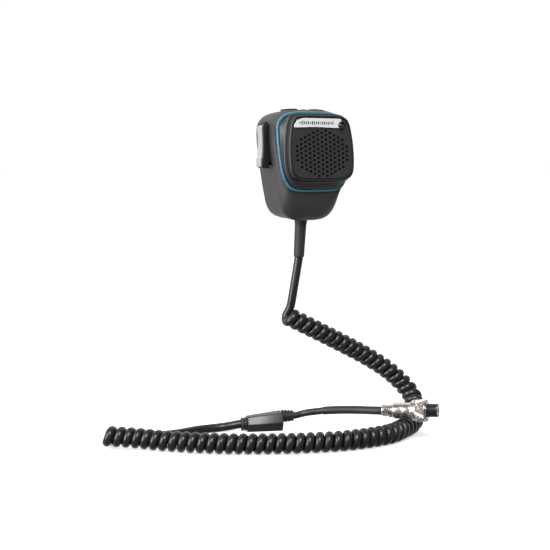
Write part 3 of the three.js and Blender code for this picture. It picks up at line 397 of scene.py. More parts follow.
# ---------- Front housing ----------
# One ABS moulding from the parting line to the trim ring. It fills the palm, and below the ring it is raked
# back to a rounded chin. Windows are cut for the talk lever, the two buttons and the cord.
SHIELD_SHAPE = [
    (0, 0), (0.54, 0.01), (0.83, 0.06), (0.975, 0.15), (1, 0.27), (0.965, 0.58), (0.915, 0.76), (0.84, 0.87),
    (0.73, 0.95), (0.55, 0.99), (0, 1),
]
RING_TOP, RING_BOTTOM, CHIN_BOTTOM = 27.2, -35.5, -46


def leaning(points, depth):
    return [p + Vector((0, LEAN * p.z - depth, 0)) for p in points]


def chin(depth, inset):
    return leaning(
        outline(PALM_SHAPE, HALF_WIDTH - inset, RING_TOP + 0.6 - inset, CHIN_BOTTOM + inset), depth
    )


def shield(depth, inset):
    return leaning(outline(SHIELD_SHAPE, HALF_WIDTH - inset, RING_TOP - inset, RING_BOTTOM + inset), depth)


outside = flowing(
    [
        palm(10.6, 1.15), palm(14, 0.7), palm(20, 0.35), palm(26, 0.1), palm(31.8, 0), chin(36.3, 0.4),
        shield(38.4, 0.02)
    ],
    5,
)
inside = [
    shield(38.8, 3.2), shield(37.8, 3.2), chin(35.3, 3.6), palm(30.8, 2.2), palm(18, 2.6), palm(10.15, 3.4)
]
rim, lip = [palm(10.15, 1.45), palm(10.3, 1.25)], [shield(38.7, 0.12), shield(38.8, 0.35)]
BUTTON_X, RELIEF_DEPTH = 13.5, 21.8
windows = [block((-41, -27.7, -14.6), (-25.1, -22.3, 16.1))]
for x in (-BUTTON_X, BUTTON_X):
    windows.append(block((x - 6.5, -27.5, 21.9), (x + 6.5, -20.5, 31)))
windows.append(rod(-4, 4, 5, (0, -RELIEF_DEPTH, BOTTOM), (0, 0, 1), 48))
make_piece(
    "front_housing_shell",
    [skin(rim + outside + lip + inside, hollow=True)],
    charcoal_abs,
    ["front_housing"],
    cut=windows,
)

# ---------- Trim ring ----------
# A thin blue-green ABS band, glossier than the housing, let in between it and the shroud. A small window of
# the same plastic shows on top, between the buttons.
teal_abs = moulded_plastic("teal_abs_gloss", "#3d7c90", "#488799", 0.24, 0.34, 1.2, 0.01)
band = [(38.85, 0.15), (39.5, 0.15), (39.85, 0.3), (40, 0.7), (39.9, 1.3), (39.6, 1.7), (38.85, 1.7)]
make_piece(
    "teal_trim_ring",
    [
        skin([shield(depth, inset) for depth, inset in band], hollow=True),
        turned(
            soften([(-1, 0), (-1, 2.8), (0.8, 2.8), (1.3, 1.6), (1.3, 0)], 0.4), (0, -25, TOP - 0.4),
            (0, 0, 1)
        ),
    ],
    teal_abs,
    ["trim_ring"],
)

# ---------- Shroud ----------
# The sloped ABS wall that rises from the ring to the foot of the bezel, turning from the wide shield outline
# to the barrel outline of the grille.
BARREL_SHAPE = [
    (0, 0), (0.5, 0.004), (0.77, 0.03), (0.875, 0.09), (0.965, 0.31), (1, 0.56), (0.985, 0.8), (0.94, 0.9),
    (0.84, 0.965), (0.68, 0.993), (0, 1),
]
BEZEL_HALF, BEZEL_TOP, BEZEL_BOTTOM = 31.2, 24, -26.4


def barrel(depth, inset):
    return leaning(outline(BARREL_SHAPE, BEZEL_HALF - inset, BEZEL_TOP - inset, BEZEL_BOTTOM + inset), depth)


slope = flowing(
    [
        shield(38.9, 1.95), shield(39.5, 2), shield(40.8, 2.5), barrel(44.2, -1.7), barrel(45, -1.1),
        barrel(45.15, 0.4)
    ],
    5
)
make_piece(
    "shroud",
    [skin(slope + [barrel(45.15, 2.2), shield(40, 4.8), shield(38.9, 4.8)], hollow=True)],
    charcoal_abs,
    ["front_shroud"],
)

# ---------- Bezel ----------
# A black satin ABS frame round the grille, with a small radius on its front edge and a ledge behind the
# panel. The lamp passes through a bore in its corner.
black_abs = moulded_plastic("black_abs_satin", "#161618", "#1d1d1f", 0.34, 0.45, 0.6, 0.02)
LENS_X, LENS_Z = 19.5, 16
lens_foot = (LENS_X, LEAN * LENS_Z, LENS_Z)
frame_steps = [
    (45.45, 0.1), (45.6, 0), (48.9, 0), (49.4, 0.08), (49.75, 0.25), (49.95, 0.5), (50, 0.8), (50, 1.2),
    (49.9, 1.4), (49.75, 1.48), (48.2, 1.5), (48.2, 3.7), (45.45, 3.7),
]
make_piece(
    "grille_bezel",
    [skin([barrel(depth, inset) for depth, inset in frame_steps], hollow=True)],
    black_abs,
    ["front_bezel"],
    cut=[rod(43, 52, 2.7, lens_foot, (0, -1, 0), 40)],
)

# ---------- Grille ----------
# The panel is ABS, 1.1 mm thick, pierced with columns of six-sided holes. A black acoustic cloth lies behind
# it and keeps spit and dust off the capsule. Its colour is set darker than the cloth's own black, as painted
# shade inside the holes. Its threads are drawn 0.4 mm apart.
panel_abs = moulded_plastic("grille_abs_fine_texture", "#28282a", "#2f2f31", 0.42, 0.54, 0.45, 0.04)
cloth_with_hole_shade, tree, shader = new_material("acoustic_cloth_woven", Roughness=0.9)
place = add_node(tree, "ShaderNodeTexCoord")
warp = add_node(
    tree, "ShaderNodeTexWave", {"Vector": place.outputs["Object"]}, Scale=400, bands_direction="X"
)
weft = add_node(
    tree, "ShaderNodeTexWave", {"Vector": place.outputs["Object"]}, Scale=400, bands_direction="Z"
)
weave = add_node(
    tree, "ShaderNodeMath", {0: warp.outputs["Fac"], 1: weft.outputs["Fac"]}, operation="MULTIPLY"
)
threads = weave.outputs[0]
# Painted shade: the two near-black tones are darker than the black cloth, and stand for the shade inside the
# grille holes.
finish_surface(tree, shader, (threads, "#020203", "#0b0b0d"), relief=(threads, 0.6, 0.0001))


def dress(material, *names):
    for name in names:
        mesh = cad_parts[name].data
        mesh.materials.clear()
        mesh.materials.append(material)


dress(panel_abs, "grille_panel")
dress(cloth_with_hole_shade, "grille_cloth")

# ---------- Name badge ----------
# A thin aluminium plate, brushed along its length and silver-anodised. The film scatters the light evenly, so
# it is a pale satin coat and not bare metal. It carries a plain printed row of bars and no lettering.
anodised_badge, tree, shader = new_material("silver_anodised_aluminium", Metallic=0.0)
place = add_node(tree, "ShaderNodeTexCoord")
drawn_out = add_node(tree, "ShaderNodeMapping", {"Vector": place.outputs["Object"]}, Scale=(60, 4000, 4000))
brushing = add_node(tree, "ShaderNodeTexNoise", {"Vector": drawn_out.outputs[0]}, Scale=1, Detail=3)
strokes = brushing.outputs["Fac"]
finish_surface(tree, shader, (strokes, "#d2d2d5", "#ececee"), (strokes, 0.3, 0.45))
dress(anodised_badge, "name_badge")

print_ink = moulded_plastic("printed_black_ink", "#26262a", "#303034", 0.5, 0.6, 0.5, 0.005)
BADGE_FACE, BADGE_MIDDLE = 50.8, 17.9
bars = []
for k in range(17):
    x = -21.5 + k * 2
    tall = 1.1 + 1.3 * abs(math.sin(k * 1.9)) + 0.6 * abs(math.sin(k * 0.7))
    low, high = BADGE_MIDDLE - tall / 2, BADGE_MIDDLE + tall / 2
    deep = BADGE_FACE - LEAN * BADGE_MIDDLE
    bars.append(block((x - 0.45, -deep - 0.12, low), (x + 0.45, -deep + 0.3, high)))
make_piece("badge_print", bars, print_ink)

# ---------- Signal lamp ----------
# A smoked polycarbonate dome over the lamp, pressed into a black collar. When the lamp is off it is a dark
# mirror, because the smoke lies in the plastic itself and its skin is polished.
smoked_lens, tree, shader = new_material(
    "smoked_polycarbonate", IOR=1.585, Roughness=0.08, Coat_Weight=0.6, Coat_Roughness=0.04
)
place = add_node(tree, "ShaderNodeTexCoord")
smoke = add_node(tree, "ShaderNodeTexNoise", {"Vector": place.outputs["Object"]}, Scale=300)
finish_surface(tree, shader, (smoke.outputs["Fac"], "#17171a", "#2b2b30"))
dome = [(47, 0), (47, 2.4), (49.9, 2.4), (50.5, 2.1), (50.95, 1.4), (51.15, 0.7), (51.2, 0)]
make_piece(
    "lamp_dome", [turned(soften(dome, 0.5), lens_foot, (0, -1, 0))], smoked_lens, ["signal_lens"]
)
collar = soften([(49.4, 2.75), (49.4, 3.5), (50.9, 3.5), (50.9, 2.75)], 0.3, hollow=True)
make_piece("lamp_collar", [turned(collar, lens_foot, (0, -1, 0), hollow=True)], black_abs)
dress(smoked_lens, "signal_lamp")

# ---------- Talk lever ----------
# A black ABS lever on a steel pin near its top, with a pad snapped on outside for the thumb. The pad is
# coloured
# light grey as a painted highlight: it stands for the glossy reflection on the lever's lit outer face. Low on
# the pad there is a ridge, and below it a tab to feel for.
# Painted highlight: this light grey stands for the glossy reflection on the lit outer face of the lever.
pad_highlight_grey = moulded_plastic("light_grey_abs", "#97979a", "#a2a2a5", 0.4, 0.52, 0.5, 0.03)


def slab(profile, front, back):
    return skin([[Vector((x, -depth, z)) for x, z in profile] for depth in (front, back)])


PIN_X, PIN_Z = -31.1, 13.7
lever_side = [
    (-36.5, 19.0), (-39.6, 19.0), (-41.4, 15.6), (-40.7, 0.3), (-41.2, -8.4), (-42.0, -9.4),
    (-41.8, -16), (-40.6, -17), (-34.6, -17), (-36.4, -11), (-37.5, -3), (-37.6, 4), (-36.9, 12),
]
tongue = [(-37, 15.3), (-29.5, 15.3), (-29.5, -5), (-28, -8), (-28, -11), (-34.5, -12), (-37, -12)]
make_piece(
    "talk_lever_arm",
    [slab(lever_side, 21.5, 28.5)],
    black_abs,
    ["talk_lever"],
    body="talk_lever",
    edge=0.5,
)
make_piece(
    "talk_lever_tongue",
    [slab(tongue, 22.8, 27.2)],
    black_abs,
    body="talk_lever",
    cut=[rod(-31, -19, 1.08, (PIN_X, 0, PIN_Z), (0, 1, 0), 32)],
)
pad_side = [
    (-39.9, 17.2), (-42.5, 14.8), (-42.1, 7), (-41.9, 0.3), (-42.2, -5), (-42.5, -8.3), (-43.4, -9.1),
    (-43.3, -15), (-43.0, -15.8), (-42.1, -15.8), (-42.2, -9.6), (-41.4, -8.6), (-40.9, 0.3),
    (-41.5, 14.9), (-39.6, 16.9),
]
make_piece(
    "thumb_pad",
    [slab(pad_side, 22.0, 28.0)],
    pad_highlight_grey,
    ["lever_pad"],
    body="talk_lever",
    edge=0.35,
)

# ---------- Lever spring ----------
# A small compression spring of hardened steel wire behind the lever. The tree winds a wire of a given
# thickness along a spiral, from one end to the other.
spring_tree, given = new_tree(
    "wound_spring", Turns="Float", Coil="Float", Wire="Float", Length="Float", Finish="Material"
)
spiral = add_node(
    spring_tree,
    "GeometryNodeCurveSpiral",
    {
        "Rotations": given.outputs["Turns"],
        "Start Radius": given.outputs["Coil"],
        "End Radius": given.outputs["Coil"],
        "Height": given.outputs["Length"],
    },
    Resolution=20,
)
wire = add_node(
    spring_tree, "GeometryNodeCurvePrimitiveCircle", {"Radius": given.outputs["Wire"]}, Resolution=10
)
wound = add_node(
    spring_tree, "GeometryNodeCurveToMesh", {"Curve": spiral.outputs[0], "Profile Curve": wire.outputs[0]},
    Fill_Caps=True
)
close_tree(spring_tree, wound.outputs[0], given)
spring = solid_object("lever_return_spring", [([(0, 0, 0)], [])], Matrix())
grow(spring, spring_tree, Turns=5.0, Coil=0.0015, Wire=0.0003, Length=0.0044, Finish=zinc_steel)
spring.data.transform(Matrix.Translation((-0.0281, -0.025, 0.0015)) @ Matrix.Rotation(math.pi / 2, 4, "Y"))
fix(spring, zinc_steel, ["lever_spring"], "microphone", 60)
dress(zinc_steel, "lever_pin", "stud_nut", "up_switch", "down_switch")

# ---------- Top buttons ----------
# Two black keys of ABS, moulded with a soft crown and a flange that keeps them in, each over its own switch.
crown = [(-6.2, 22.4), (-6.2, 29.6), (-2, 29.6), (2.5, 29.35), (6.2, 28.9), (6.2, 22.4)]
for name, x, side in (("up_button", BUTTON_X, 1), ("down_button", -BUTTON_X, -1)):
    make_piece(
        name + "_key",
        [slab([(x + side * u, z) for u, z in crown], 20.8, 27.2)],
        black_abs,
        [name],
        body=name,
        edge=0.6,
    )
    make_piece(
        name + "_flange",
        [
            block((x - 7.1, -28.1, 23), (x + 7.1, -19.9, 24)),
            block((x - 1.5, -25.5, 21.9), (x + 1.5, -22.5, 23.4))
        ],
        black_abs,
        body=name,
    )

# ---------- Inside the housing ----------
# A green glass-epoxy board carries the switches, and the capsule sits in a rubber boot behind the holes. It
# is all hidden when the housing is closed, so these plain pieces only get their finishes.
board_green = moulded_plastic("glass_epoxy_solder_mask", "#14502a", "#1b5c33", 0.2, 0.32, 0.8, 0.01, patch=5)
dress(board_green, "circuit_board", "box_board")
dress(black_abs, "talk_switch", "cord_clamp")

# ---------- Strain relief ----------
# A tapered sleeve of moulded thermoplastic rubber, which grips the cord and flexes below the chin. The
# rubber is dull, with a faint bloom.
rubber = moulded_plastic("thermoplastic_rubber", "#1f1f21", "#29292b", 0.5, 0.62, 0.7, 0.02, patch=9)
relief_top = Vector((0, -RELIEF_DEPTH, BOTTOM - 0.3))
relief_along = Vector((-0.5, 2, -29.8)).normalized()
RELIEF_LENGTH = 30.1
sleeve = [
    (-5, 0), (-5, 4.6), (0, 4.7), (0.2, 5.1), (2.2, 5.0), (3.4, 4.7), (20, 4.4), (26.5, 4.3), (28.6, 4.3),
    (RELIEF_LENGTH, 4.0), (RELIEF_LENGTH, 0),
]
make_piece(
    "cord_relief", [turned(soften(sleeve, 0.6), relief_top, relief_along)], rubber,
    ["strain_relief"]
)
dress(rubber, "capsule_boot")

# ---------- Curly cord ----------
# One length of 7 mm cord in a black polyurethane jacket, smooth and half shiny. It leaves the relief
# straight, is wound left-handed in turns 16 mm across outside, hangs and then lies in a wide bow, and doubles
# back straight to the in-line box.
WIRE, COIL = 3.5, 8.1
lead_points = [
    (-0.3, -20.5, -78), (-0.45, -19.95, -86), (-0.7, -19.7, -90), (-1.5, -19.6, -94.6),
    (-3.2, -19.5, -103.5), (-5.2, -19.3, -114), (-6.5, -18.6, -122.9), (-7.3, -17.4, -129),
]
coil_points = [
    (-11.5, -19.5, -135.5), (5, -26.5, -144.6), (30, -33.5, -158.1), (55.5, -40.5, -172.7),
    (72.5, -48.5, -185.5), (82.5, -54, -196.4), (85, -61.5, -204.5), (81, -71, -212.4),
    (73.5, -79, -218.3), (64, -84.5, -221.7), (49.5, -92, -221.7), (30, -99.5, -221.7),
    (8.5, -100, -221.7), (-13, -96.5, -221.7), (-31.5, -89.5, -221.7), (-57, -76.5, -221.7),
    (-83, -59.5, -221.7), (-105, -41, -221.7), (-126.5, -18.5, -221.5), (-142, -1.5, -220.6),
    (-158.6, 10.8, -219.3),
]
return_points = [
    (-155.2, 16.4, -225.1), (-149.6, 21, -226.2), (-142, 23.6, -226.4), (-133, 24.4, -226.4),
    (-114.5, 15.5, -226.4), (-97.5, 12, -226.4), (-86, 12.5, -226.4), (-75, 13, -226.4),
    (-58, 9, -226.1), (-50, 4, -224.7), (-44.7, 1.4, -223.8), (-38, -1.3, -223.8),
]
HANGING_PITCH, LYING_PITCH, LYING_BELOW = 7.0, 7.3, -221
middle = smooth(coil_points, 60)
turn_shares, hung = [0.0], True
for a, b in zip(middle, middle[1:]):
    hung = hung and b.z > LYING_BELOW
    turn_shares.append(turn_shares[-1] + (b - a).length / (HANGING_PITCH if hung else LYING_PITCH))
# A quarter turn over, because it winds from the back of the first turn to the foot of the last.
whole_turns = round(turn_shares[-1] - 0.25) + 0.25
turns_per_share = whole_turns / turn_shares[-1]
STEPS_PER_TURN = 22
helix, at = [], 0
for k in range(int(whole_turns * STEPS_PER_TURN) + 1):
    want = k / STEPS_PER_TURN / turns_per_share
    while at < len(turn_shares) - 2 and turn_shares[at + 1] < want:
        at += 1
    part = (want - turn_shares[at]) / (turn_shares[at + 1] - turn_shares[at])
    centre = middle[at].lerp(middle[at + 1], part)
    ahead = (middle[at + 1] - middle[at]).normalized()
    aside = ahead.cross(Vector((0, 0, 1))).normalized()
    above = aside.cross(ahead)
    angle = math.pi + 2 * math.pi * k / STEPS_PER_TURN
    helix.append(centre + (aside * math.cos(angle) + above * math.sin(angle)) * (COIL - WIRE))
SHARED, STEPS = 3, 8  # helix points that steer each join, and steps between two points
lead = smooth([Vector(p) for p in lead_points] + helix[:SHARED], STEPS)[: STEPS * len(lead_points)]
back = smooth(helix[-SHARED:] + [Vector(p) for p in return_points], STEPS)[STEPS * (SHARED - 1) + 1 :]
cord_line = [p * 0.001 for p in lead + helix + back]


def round_cord(name, points, radius, material, replaced):
    curve = bpy.data.curves.new(name, "CURVE")
    curve.dimensions = "3D"
    spline = curve.splines.new("POLY")
    spline.points.add(len(points) - 1)
    for made, p in zip(spline.points, points):
        made.co = (*p, 1)
    curve.bevel_depth, curve.bevel_resolution, curve.use_fill_caps = radius, 4, True
    curve.materials.append(material)
    piece = bpy.data.objects.new(name, curve)
    bpy.context.scene.collection.objects.link(piece)
    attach(piece, "microphone")
    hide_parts(*replaced)
    return piece


jacket = moulded_plastic("polyurethane_cord_jacket", "#131315", "#1a1a1c", 0.3, 0.38, 2.0, 0.003, patch=25)
curly_cord = round_cord(
    "curly_cord_wire", cord_line, WIRE / 1000, jacket, ["mic_lead", "curly_cord", "box_lead"]
)

# ---------- In-line box ----------
# Two ABS half shells of six-sided section, wider towards the plug, snapped together on a level line round a
# small filter board. Their faces are smoother than the housing's and catch the light.
box_abs = moulded_plastic("black_abs_smooth", "#242426", "#2c2c2e", 0.3, 0.4, 0.7, 0.012)
BOX_TURN = math.radians(-22)
box_place = Matrix.Translation((-25.5, -6.4, -222.4)) @ Matrix.Rotation(BOX_TURN, 4, "Z")
CHAMFER, BOX_WALL = 3.6, 1.4
INLET_END, OUTLET_END = (15, 12.2), (19, 15)  # width and height
INLET_HEIGHT, OUTLET_HEIGHT = -1.4, 3.4
FLOOR_TO_MIDDLE = 7.5


def six_sided(x, end, inset):
    width, height = end
    w, h, foot = width / 2 - inset, height / 2 - inset, height / 2 - FLOOR_TO_MIDDLE
    edge = w - CHAMFER
    corners = [(-w, 0), (-edge, -h), (edge, -h), (w, 0), (edge, h), (-edge, h)]
    return [Vector((x, y, z + foot)) for y, z in corners]


hollow = skin([six_sided(-13.1, INLET_END, BOX_WALL), six_sided(13.1, OUTLET_END, BOX_WALL)])
inlet_hole = rod(-17, -11, 4.4, (0, 0, INLET_HEIGHT))
outlet_hole = rod(11, 17, 4.0, (0, 0, OUTLET_HEIGHT))
for name, kept in (("lower", (-0.85, 20)), ("upper", (-20, -0.55))):
    hull = skin([six_sided(-14.5, INLET_END, 0), six_sided(14.5, OUTLET_END, 0)])
    half = solid_object("half_" + name, [hull], box_place)
    rounding = half.modifiers.new("edge", "BEVEL")
    rounding.width, rounding.segments, rounding.limit_method = 0.0008, 4, "ANGLE"
    tool = solid_object("half_tool", [hollow], box_place)
    ends = solid_object("half_ends", [inlet_hole, outlet_hole], box_place)
    away = solid_object("half_away", [block((-30, -30, kept[0]), (30, 30, kept[1]))], box_place)
    for other in (tool, ends, away):
        cut_away(half, other)
    settle(half)
    for other in (tool, ends, away):
        bpy.data.objects.remove(other)
    half.name = "filter_box_" + name
    fix(half, box_abs, ["box_" + name + "_shell"], "microphone", 24)

# ---------- Ribbed reliefs ----------
# Short moulded-rubber reliefs with round ribs, one at each end of the box. The tree threads the ribs on the
# relief's core, each a step further along and a little smaller.
rib_tree, given = new_tree(
    "ribbed_relief", Ribs="Int", Step="Float", First_Radius="Float", Last_Share="Float", Thickness="Float",
    Finish="Material"
)
loop = add_node(
    rib_tree, "GeometryNodeCurvePrimitiveCircle", {"Radius": given.outputs["First Radius"]}, Resolution=48
)
round_edge = add_node(
    rib_tree, "GeometryNodeCurvePrimitiveCircle", {"Radius": given.outputs["Thickness"]}, Resolution=12
)
rib = add_node(
    rib_tree, "GeometryNodeCurveToMesh", {"Curve": loop.outputs[0], "Profile Curve": round_edge.outputs[0]}
)
upright = add_node(
    rib_tree, "GeometryNodeTransform", {"Geometry": rib.outputs[0]}, Rotation=(0, math.pi / 2, 0)
)
stride = add_node(rib_tree, "ShaderNodeCombineXYZ", {"X": given.outputs["Step"]})
row = add_node(
    rib_tree, "GeometryNodeMeshLine", {"Count": given.outputs["Ribs"], "Offset": stride.outputs[0]}
)
row.inputs["Start Location"].default_value = (0, 0, 0)
number = add_node(rib_tree, "GeometryNodeInputIndex")
last = add_node(rib_tree, "ShaderNodeMath", {0: given.outputs["Ribs"]}, operation="SUBTRACT")
last.inputs[1].default_value = 1
share = add_node(rib_tree, "ShaderNodeMath", {0: number.outputs[0], 1: last.outputs[0]}, operation="DIVIDE")
size = add_node(
    rib_tree, "ShaderNodeMapRange", {"Value": share.outputs[0], "To Max": given.outputs["Last Share"]},
    To_Min=1
)
across = add_node(rib_tree, "ShaderNodeCombineXYZ", {"Y": size.outputs[0], "Z": size.outputs[0]}, X=1)
threaded = add_node(
    rib_tree,
    "GeometryNodeInstanceOnPoints",
    {"Points": row.outputs[0], "Instance": upright.outputs[0], "Scale": across.outputs[0]},
)
joined = add_node(rib_tree, "GeometryNodeJoinGeometry")
for source in (given.outputs["Geometry"], threaded.outputs[0]):
    rib_tree.links.new(source, joined.inputs[0])
close_tree(rib_tree, joined.outputs[0], given)

OUTLET_CORE = [(-3, 0), (-3, 4.0), (10.4, 3.4), (10.4, 0)]
INLET_CORE = [(-3, 0), (-3, 4.0), (4.6, 3.9), (4.6, 0)]
RIB_SET_BACK = 1.1  # how far the core starts behind its first rib
for name, node_name, core, ribs, step, first, last_share, start, turn in (
    ("outlet_relief", "box_relief_out", OUTLET_CORE, 4, 2.6, 4.6, 0.86, (15.6, 0, OUTLET_HEIGHT), 0),
    ("inlet_relief", "box_relief_in", INLET_CORE, 2, 2.5, 4.7, 1.0, (-15.6, 0, INLET_HEIGHT), math.pi),
):
    piece = solid_object(name, [turned(soften([(x - RIB_SET_BACK, r) for x, r in core], 0.3))], Matrix())
    grow(
        piece, rib_tree, Ribs=ribs, Step=step / 1000, First_Radius=first / 1000, Last_Share=last_share,
        Thickness=0.00085, Finish=rubber,
    )
    spot = Matrix.Translation([v / 1000 for v in box_place @ Vector(start)])
    piece.data.transform(spot @ Matrix.Rotation(BOX_TURN + turn, 4, "Z"))
    fix(piece, rubber, [node_name], "microphone", 40)

# ---------- Cable to the plug ----------
# A thinner 5.8 mm cable leaves the box and is held up at the plug. Its last part is thickened by a length of
# heat-shrunk sleeve, duller than the jacket, so that the plug's clamp can grip it.
THIN, SLEEVE = 2.9, 3.35
cable_points = [
    (-7, -13.8, -219), (-0.95, -16.45, -218.86), (0.5, -17.2, -218.6), (3.2, -23.8, -216.1),
    (9.2, -32, -214), (15.5, -41.1, -212.2), (22.7, -51.5, -210.9), (29.5, -62.3, -209.9),
    (34.9, -76.3, -208.5), (37.8, -80.8, -208.1), (42, -87.3, -207.4),
]
cable_line = [p * 0.001 for p in smooth(cable_points, STEPS)]
plug_cable = round_cord("plug_cable_jacket", cable_line, THIN / 1000, jacket, ["plug_cable"])
shrunk_sleeve = moulded_plastic(
    "heat_shrunk_polyolefin", "#1a1a1c", "#222224", 0.42, 0.55, 1.5, 0.03, patch=8
)
SLEEVE_START = 36  # how many points of the drawn line lie before it
round_cord(
    "shrunk_sleeve", cable_line[SLEEVE_START:], SLEEVE / 1000, shrunk_sleeve, ["cable_sleeve"]
)

# ---------- Plug shell and clamp ----------
# Turned and stamped brass under bright nickel plate. The tool leaves fine rings round the axis, which blur
# the reflections along the plug. Two screws draw the saddle down on the sleeve.
PLUG_REAR, PLUG_TURN = (37.6, -80.5, -208.1), (0, math.radians(-5), math.radians(-57))
plug_place = Matrix.Translation(PLUG_REAR) @ Euler(PLUG_TURN, "XYZ").to_matrix().to_4x4()
bright_nickel, tree, shader = new_material("nickel_plated_brass", Metallic=1)
place = add_node(tree, "ShaderNodeTexCoord")
on_axis = add_node(
    tree,
    "ShaderNodeMapping",
    {"Vector": place.outputs["Object"]},
    vector_type="TEXTURE",
    Location=[v / 1000 for v in PLUG_REAR],
    Rotation=PLUG_TURN,
)
axes = add_node(tree, "ShaderNodeSeparateXYZ", {0: on_axis.outputs[0]})
along = add_node(tree, "ShaderNodeMath", {0: axes.outputs["X"]}, operation="MULTIPLY")
along.inputs[1].default_value = 2500  # rings in a metre, 0.4 mm apart
tool_rings = add_node(
    tree, "ShaderNodeTexNoise", {"W": along.outputs[0]}, noise_dimensions="1D", Scale=1, Detail=3
)
fingered = add_node(tree, "ShaderNodeTexNoise", {"Vector": place.outputs["Object"]}, Scale=180, Detail=3)
ringed = tool_rings.outputs["Fac"]
finish_surface(
    tree, shader, (fingered.outputs["Fac"], "#d3ccc6", "#e9e3de"), (ringed, 0.12, 0.3),
    (ringed, 0.25, 0.00002)
)

shell_profile = soften(
    [
        (8.5, 4.8), (9.7, 6.4), (16.3, 6.4), (16.6, 5.8), (17.5, 5.8), (17.8, 6.4), (23.5, 6.4), (23.6, 5.9),
        (35.4, 5.9), (35.6, 6.8), (37, 6.8), (37, 5.55), (11.2, 5.55), (10.8, 3.6), (8.5, 3.6),
    ],
    0.25,
    hollow=True,
)
make_piece(
    "plug_sleeve",
    [turned(shell_profile, hollow=True)],
    bright_nickel,
    ["plug_shell"],
    place=plug_place,
    cut=[rod(5.6, 9, 1.3, (20.5, 0, 0), (0, 0, 1), 24)],
)
grip = soften([(0.3, 3.55), (0.3, 4.7), (8.2, 4.7), (8.2, 3.55)], 0.3, hollow=True)
bore = rod(-2, 10, 3.5)
screw_spots = [(3.9, -5.35), (3.9, 5.35)]
shank_holes = [rod(-6, 6, 1.1, (x, y, 0), (0, 0, 1), 20) for x, y in screw_spots]
make_piece(
    "clamp_trough", [turned(grip, hollow=True)], bright_nickel, place=plug_place,
    cut=[block((-1, -9, -0.15), (10, 9, 9))]
)
make_piece(
    "clamp_trough_ears",
    [block((1.2, -6.9, -2), (6.6, 6.9, -0.15)), block((6, -3.2, -4.7), (10.5, 3.2, -3.6))],
    bright_nickel, place=plug_place, cut=[bore] + shank_holes,
)
make_piece(
    "clamp_saddle", [turned(grip, hollow=True)], bright_nickel, ["cable_saddle"], place=plug_place,
    cut=[block((-1, -9, -9), (10, 9, 0.15))],
)
make_piece(
    "clamp_saddle_ears", [block((1.2, -6.9, 0.15), (6.6, 6.9, 2.2))], bright_nickel,
    place=plug_place,
    cut=[bore] + shank_holes, edge=0.25,
)
for k, (x, y) in enumerate(screw_spots):
    profile = soften([(-3, 0), (-3, 0.8), (2.3, 0.8), (2.3, 1.5), (3.3, 1.5), (3.7, 0.9), (3.7, 0)], 0.25)
    make_piece(
        "clamp_screw_head_%d" % (k + 1), [turned(profile, (x, y, 0), (0, 0, 1), 28)], zinc_steel,
        ["clamp_screw_%d" % (k + 1)], place=plug_place,
        cut=[block((x - 2, y - 0.22, 3.2), (x + 2, y + 0.22, 4.2))],
    )
dress(zinc_steel, "lock_screw", "nut_snap_ring")
dress(bright_nickel, "microphone_capsule")

# ---------- Insert and contacts ----------
# The core is black glass-filled nylon, hard and fairly shiny, with a keyway along its top. Four silver-plated
# sockets open in its end.
nylon_core = moulded_plastic("glass_filled_nylon", "#101012", "#18181a", 0.25, 0.36, 0.8, 0.015)
PIN_CIRCLE = 3
pin_angles = [math.pi / 4 + k * math.pi / 2 for k in range(4)]
pin_spots = [(PIN_CIRCLE * math.cos(angle), PIN_CIRCLE * math.sin(angle)) for angle in pin_angles]
core_profile = soften([(14.2, 0), (14.2, 5.25), (45, 5.25), (45, 0)], 0.5)
core_cuts = [block((37.6, -0.8, 4.55), (46, 0.8, 7))]
for y, z in pin_spots:
    core_cuts.append(rod(40, 46, 1.3, (0, y, z), (1, 0, 0), 24))
make_piece(
    "plug_core", [turned(core_profile)], nylon_core, ["plug_insert"], place=plug_place,
    cut=core_cuts
)
silver_plate, tree, shader = new_material("silver_plated_contact", Metallic=1)
place = add_node(tree, "ShaderNodeTexCoord")
tarnish = add_node(tree, "ShaderNodeTexNoise", {"Vector": place.outputs["Object"]}, Scale=700, Detail=3)
dulled = tarnish.outputs["Fac"]
finish_surface(tree, shader, (dulled, "#d9d4c8", "#f1efe9"), (dulled, 0.15, 0.3))
for k, (y, z) in enumerate(pin_spots):
    socket = soften([(40.5, 0), (40.5, 1.05), (45.2, 1.05), (45.2, 0.6), (42, 0.6), (42, 0)], 0.12)
    make_piece(
        "contact_socket_%d" % (k + 1), [turned(socket, (0, y, z), (1, 0, 0), 24)], silver_plate,
        ["plug_contact_%d" % (k + 1)], place=plug_place,
    )

# ---------- Coupling nut ----------
# A nickel-plated brass nut, loose on the shell's barrel. A knurling wheel has rolled a diamond pattern into
# its grip: the tree lays two crossed sets of ridges round it.
knurl_tree, given = new_tree(
    "diamond_knurl", Ridges="Int", Radius="Float", Length="Float", Width="Float", Slant="Float",
    Middle="Float", Finish="Material"
)
hoop = add_node(
    knurl_tree, "GeometryNodeCurvePrimitiveCircle",
    {"Radius": given.outputs["Radius"], "Resolution": given.outputs["Ridges"]}
)
stood = add_node(
    knurl_tree, "GeometryNodeTransform", {"Geometry": hoop.outputs[0]}, Rotation=(0, math.pi / 2, 0)
)
spot = add_node(knurl_tree, "ShaderNodeCombineXYZ", {"X": given.outputs["Middle"]})
moved = add_node(
    knurl_tree, "GeometryNodeTransform", {"Geometry": stood.outputs[0], "Translation": spot.outputs[0]}
)
points = add_node(knurl_tree, "GeometryNodeCurveToPoints", {"Curve": moved.outputs[0]}, mode="EVALUATED")
stick = add_node(
    knurl_tree, "ShaderNodeCombineXYZ",
    {"X": given.outputs["Length"], "Y": given.outputs["Width"], "Z": given.outputs["Width"]}
)
ridge = add_node(knurl_tree, "GeometryNodeMeshCube", {"Size": stick.outputs[0]})
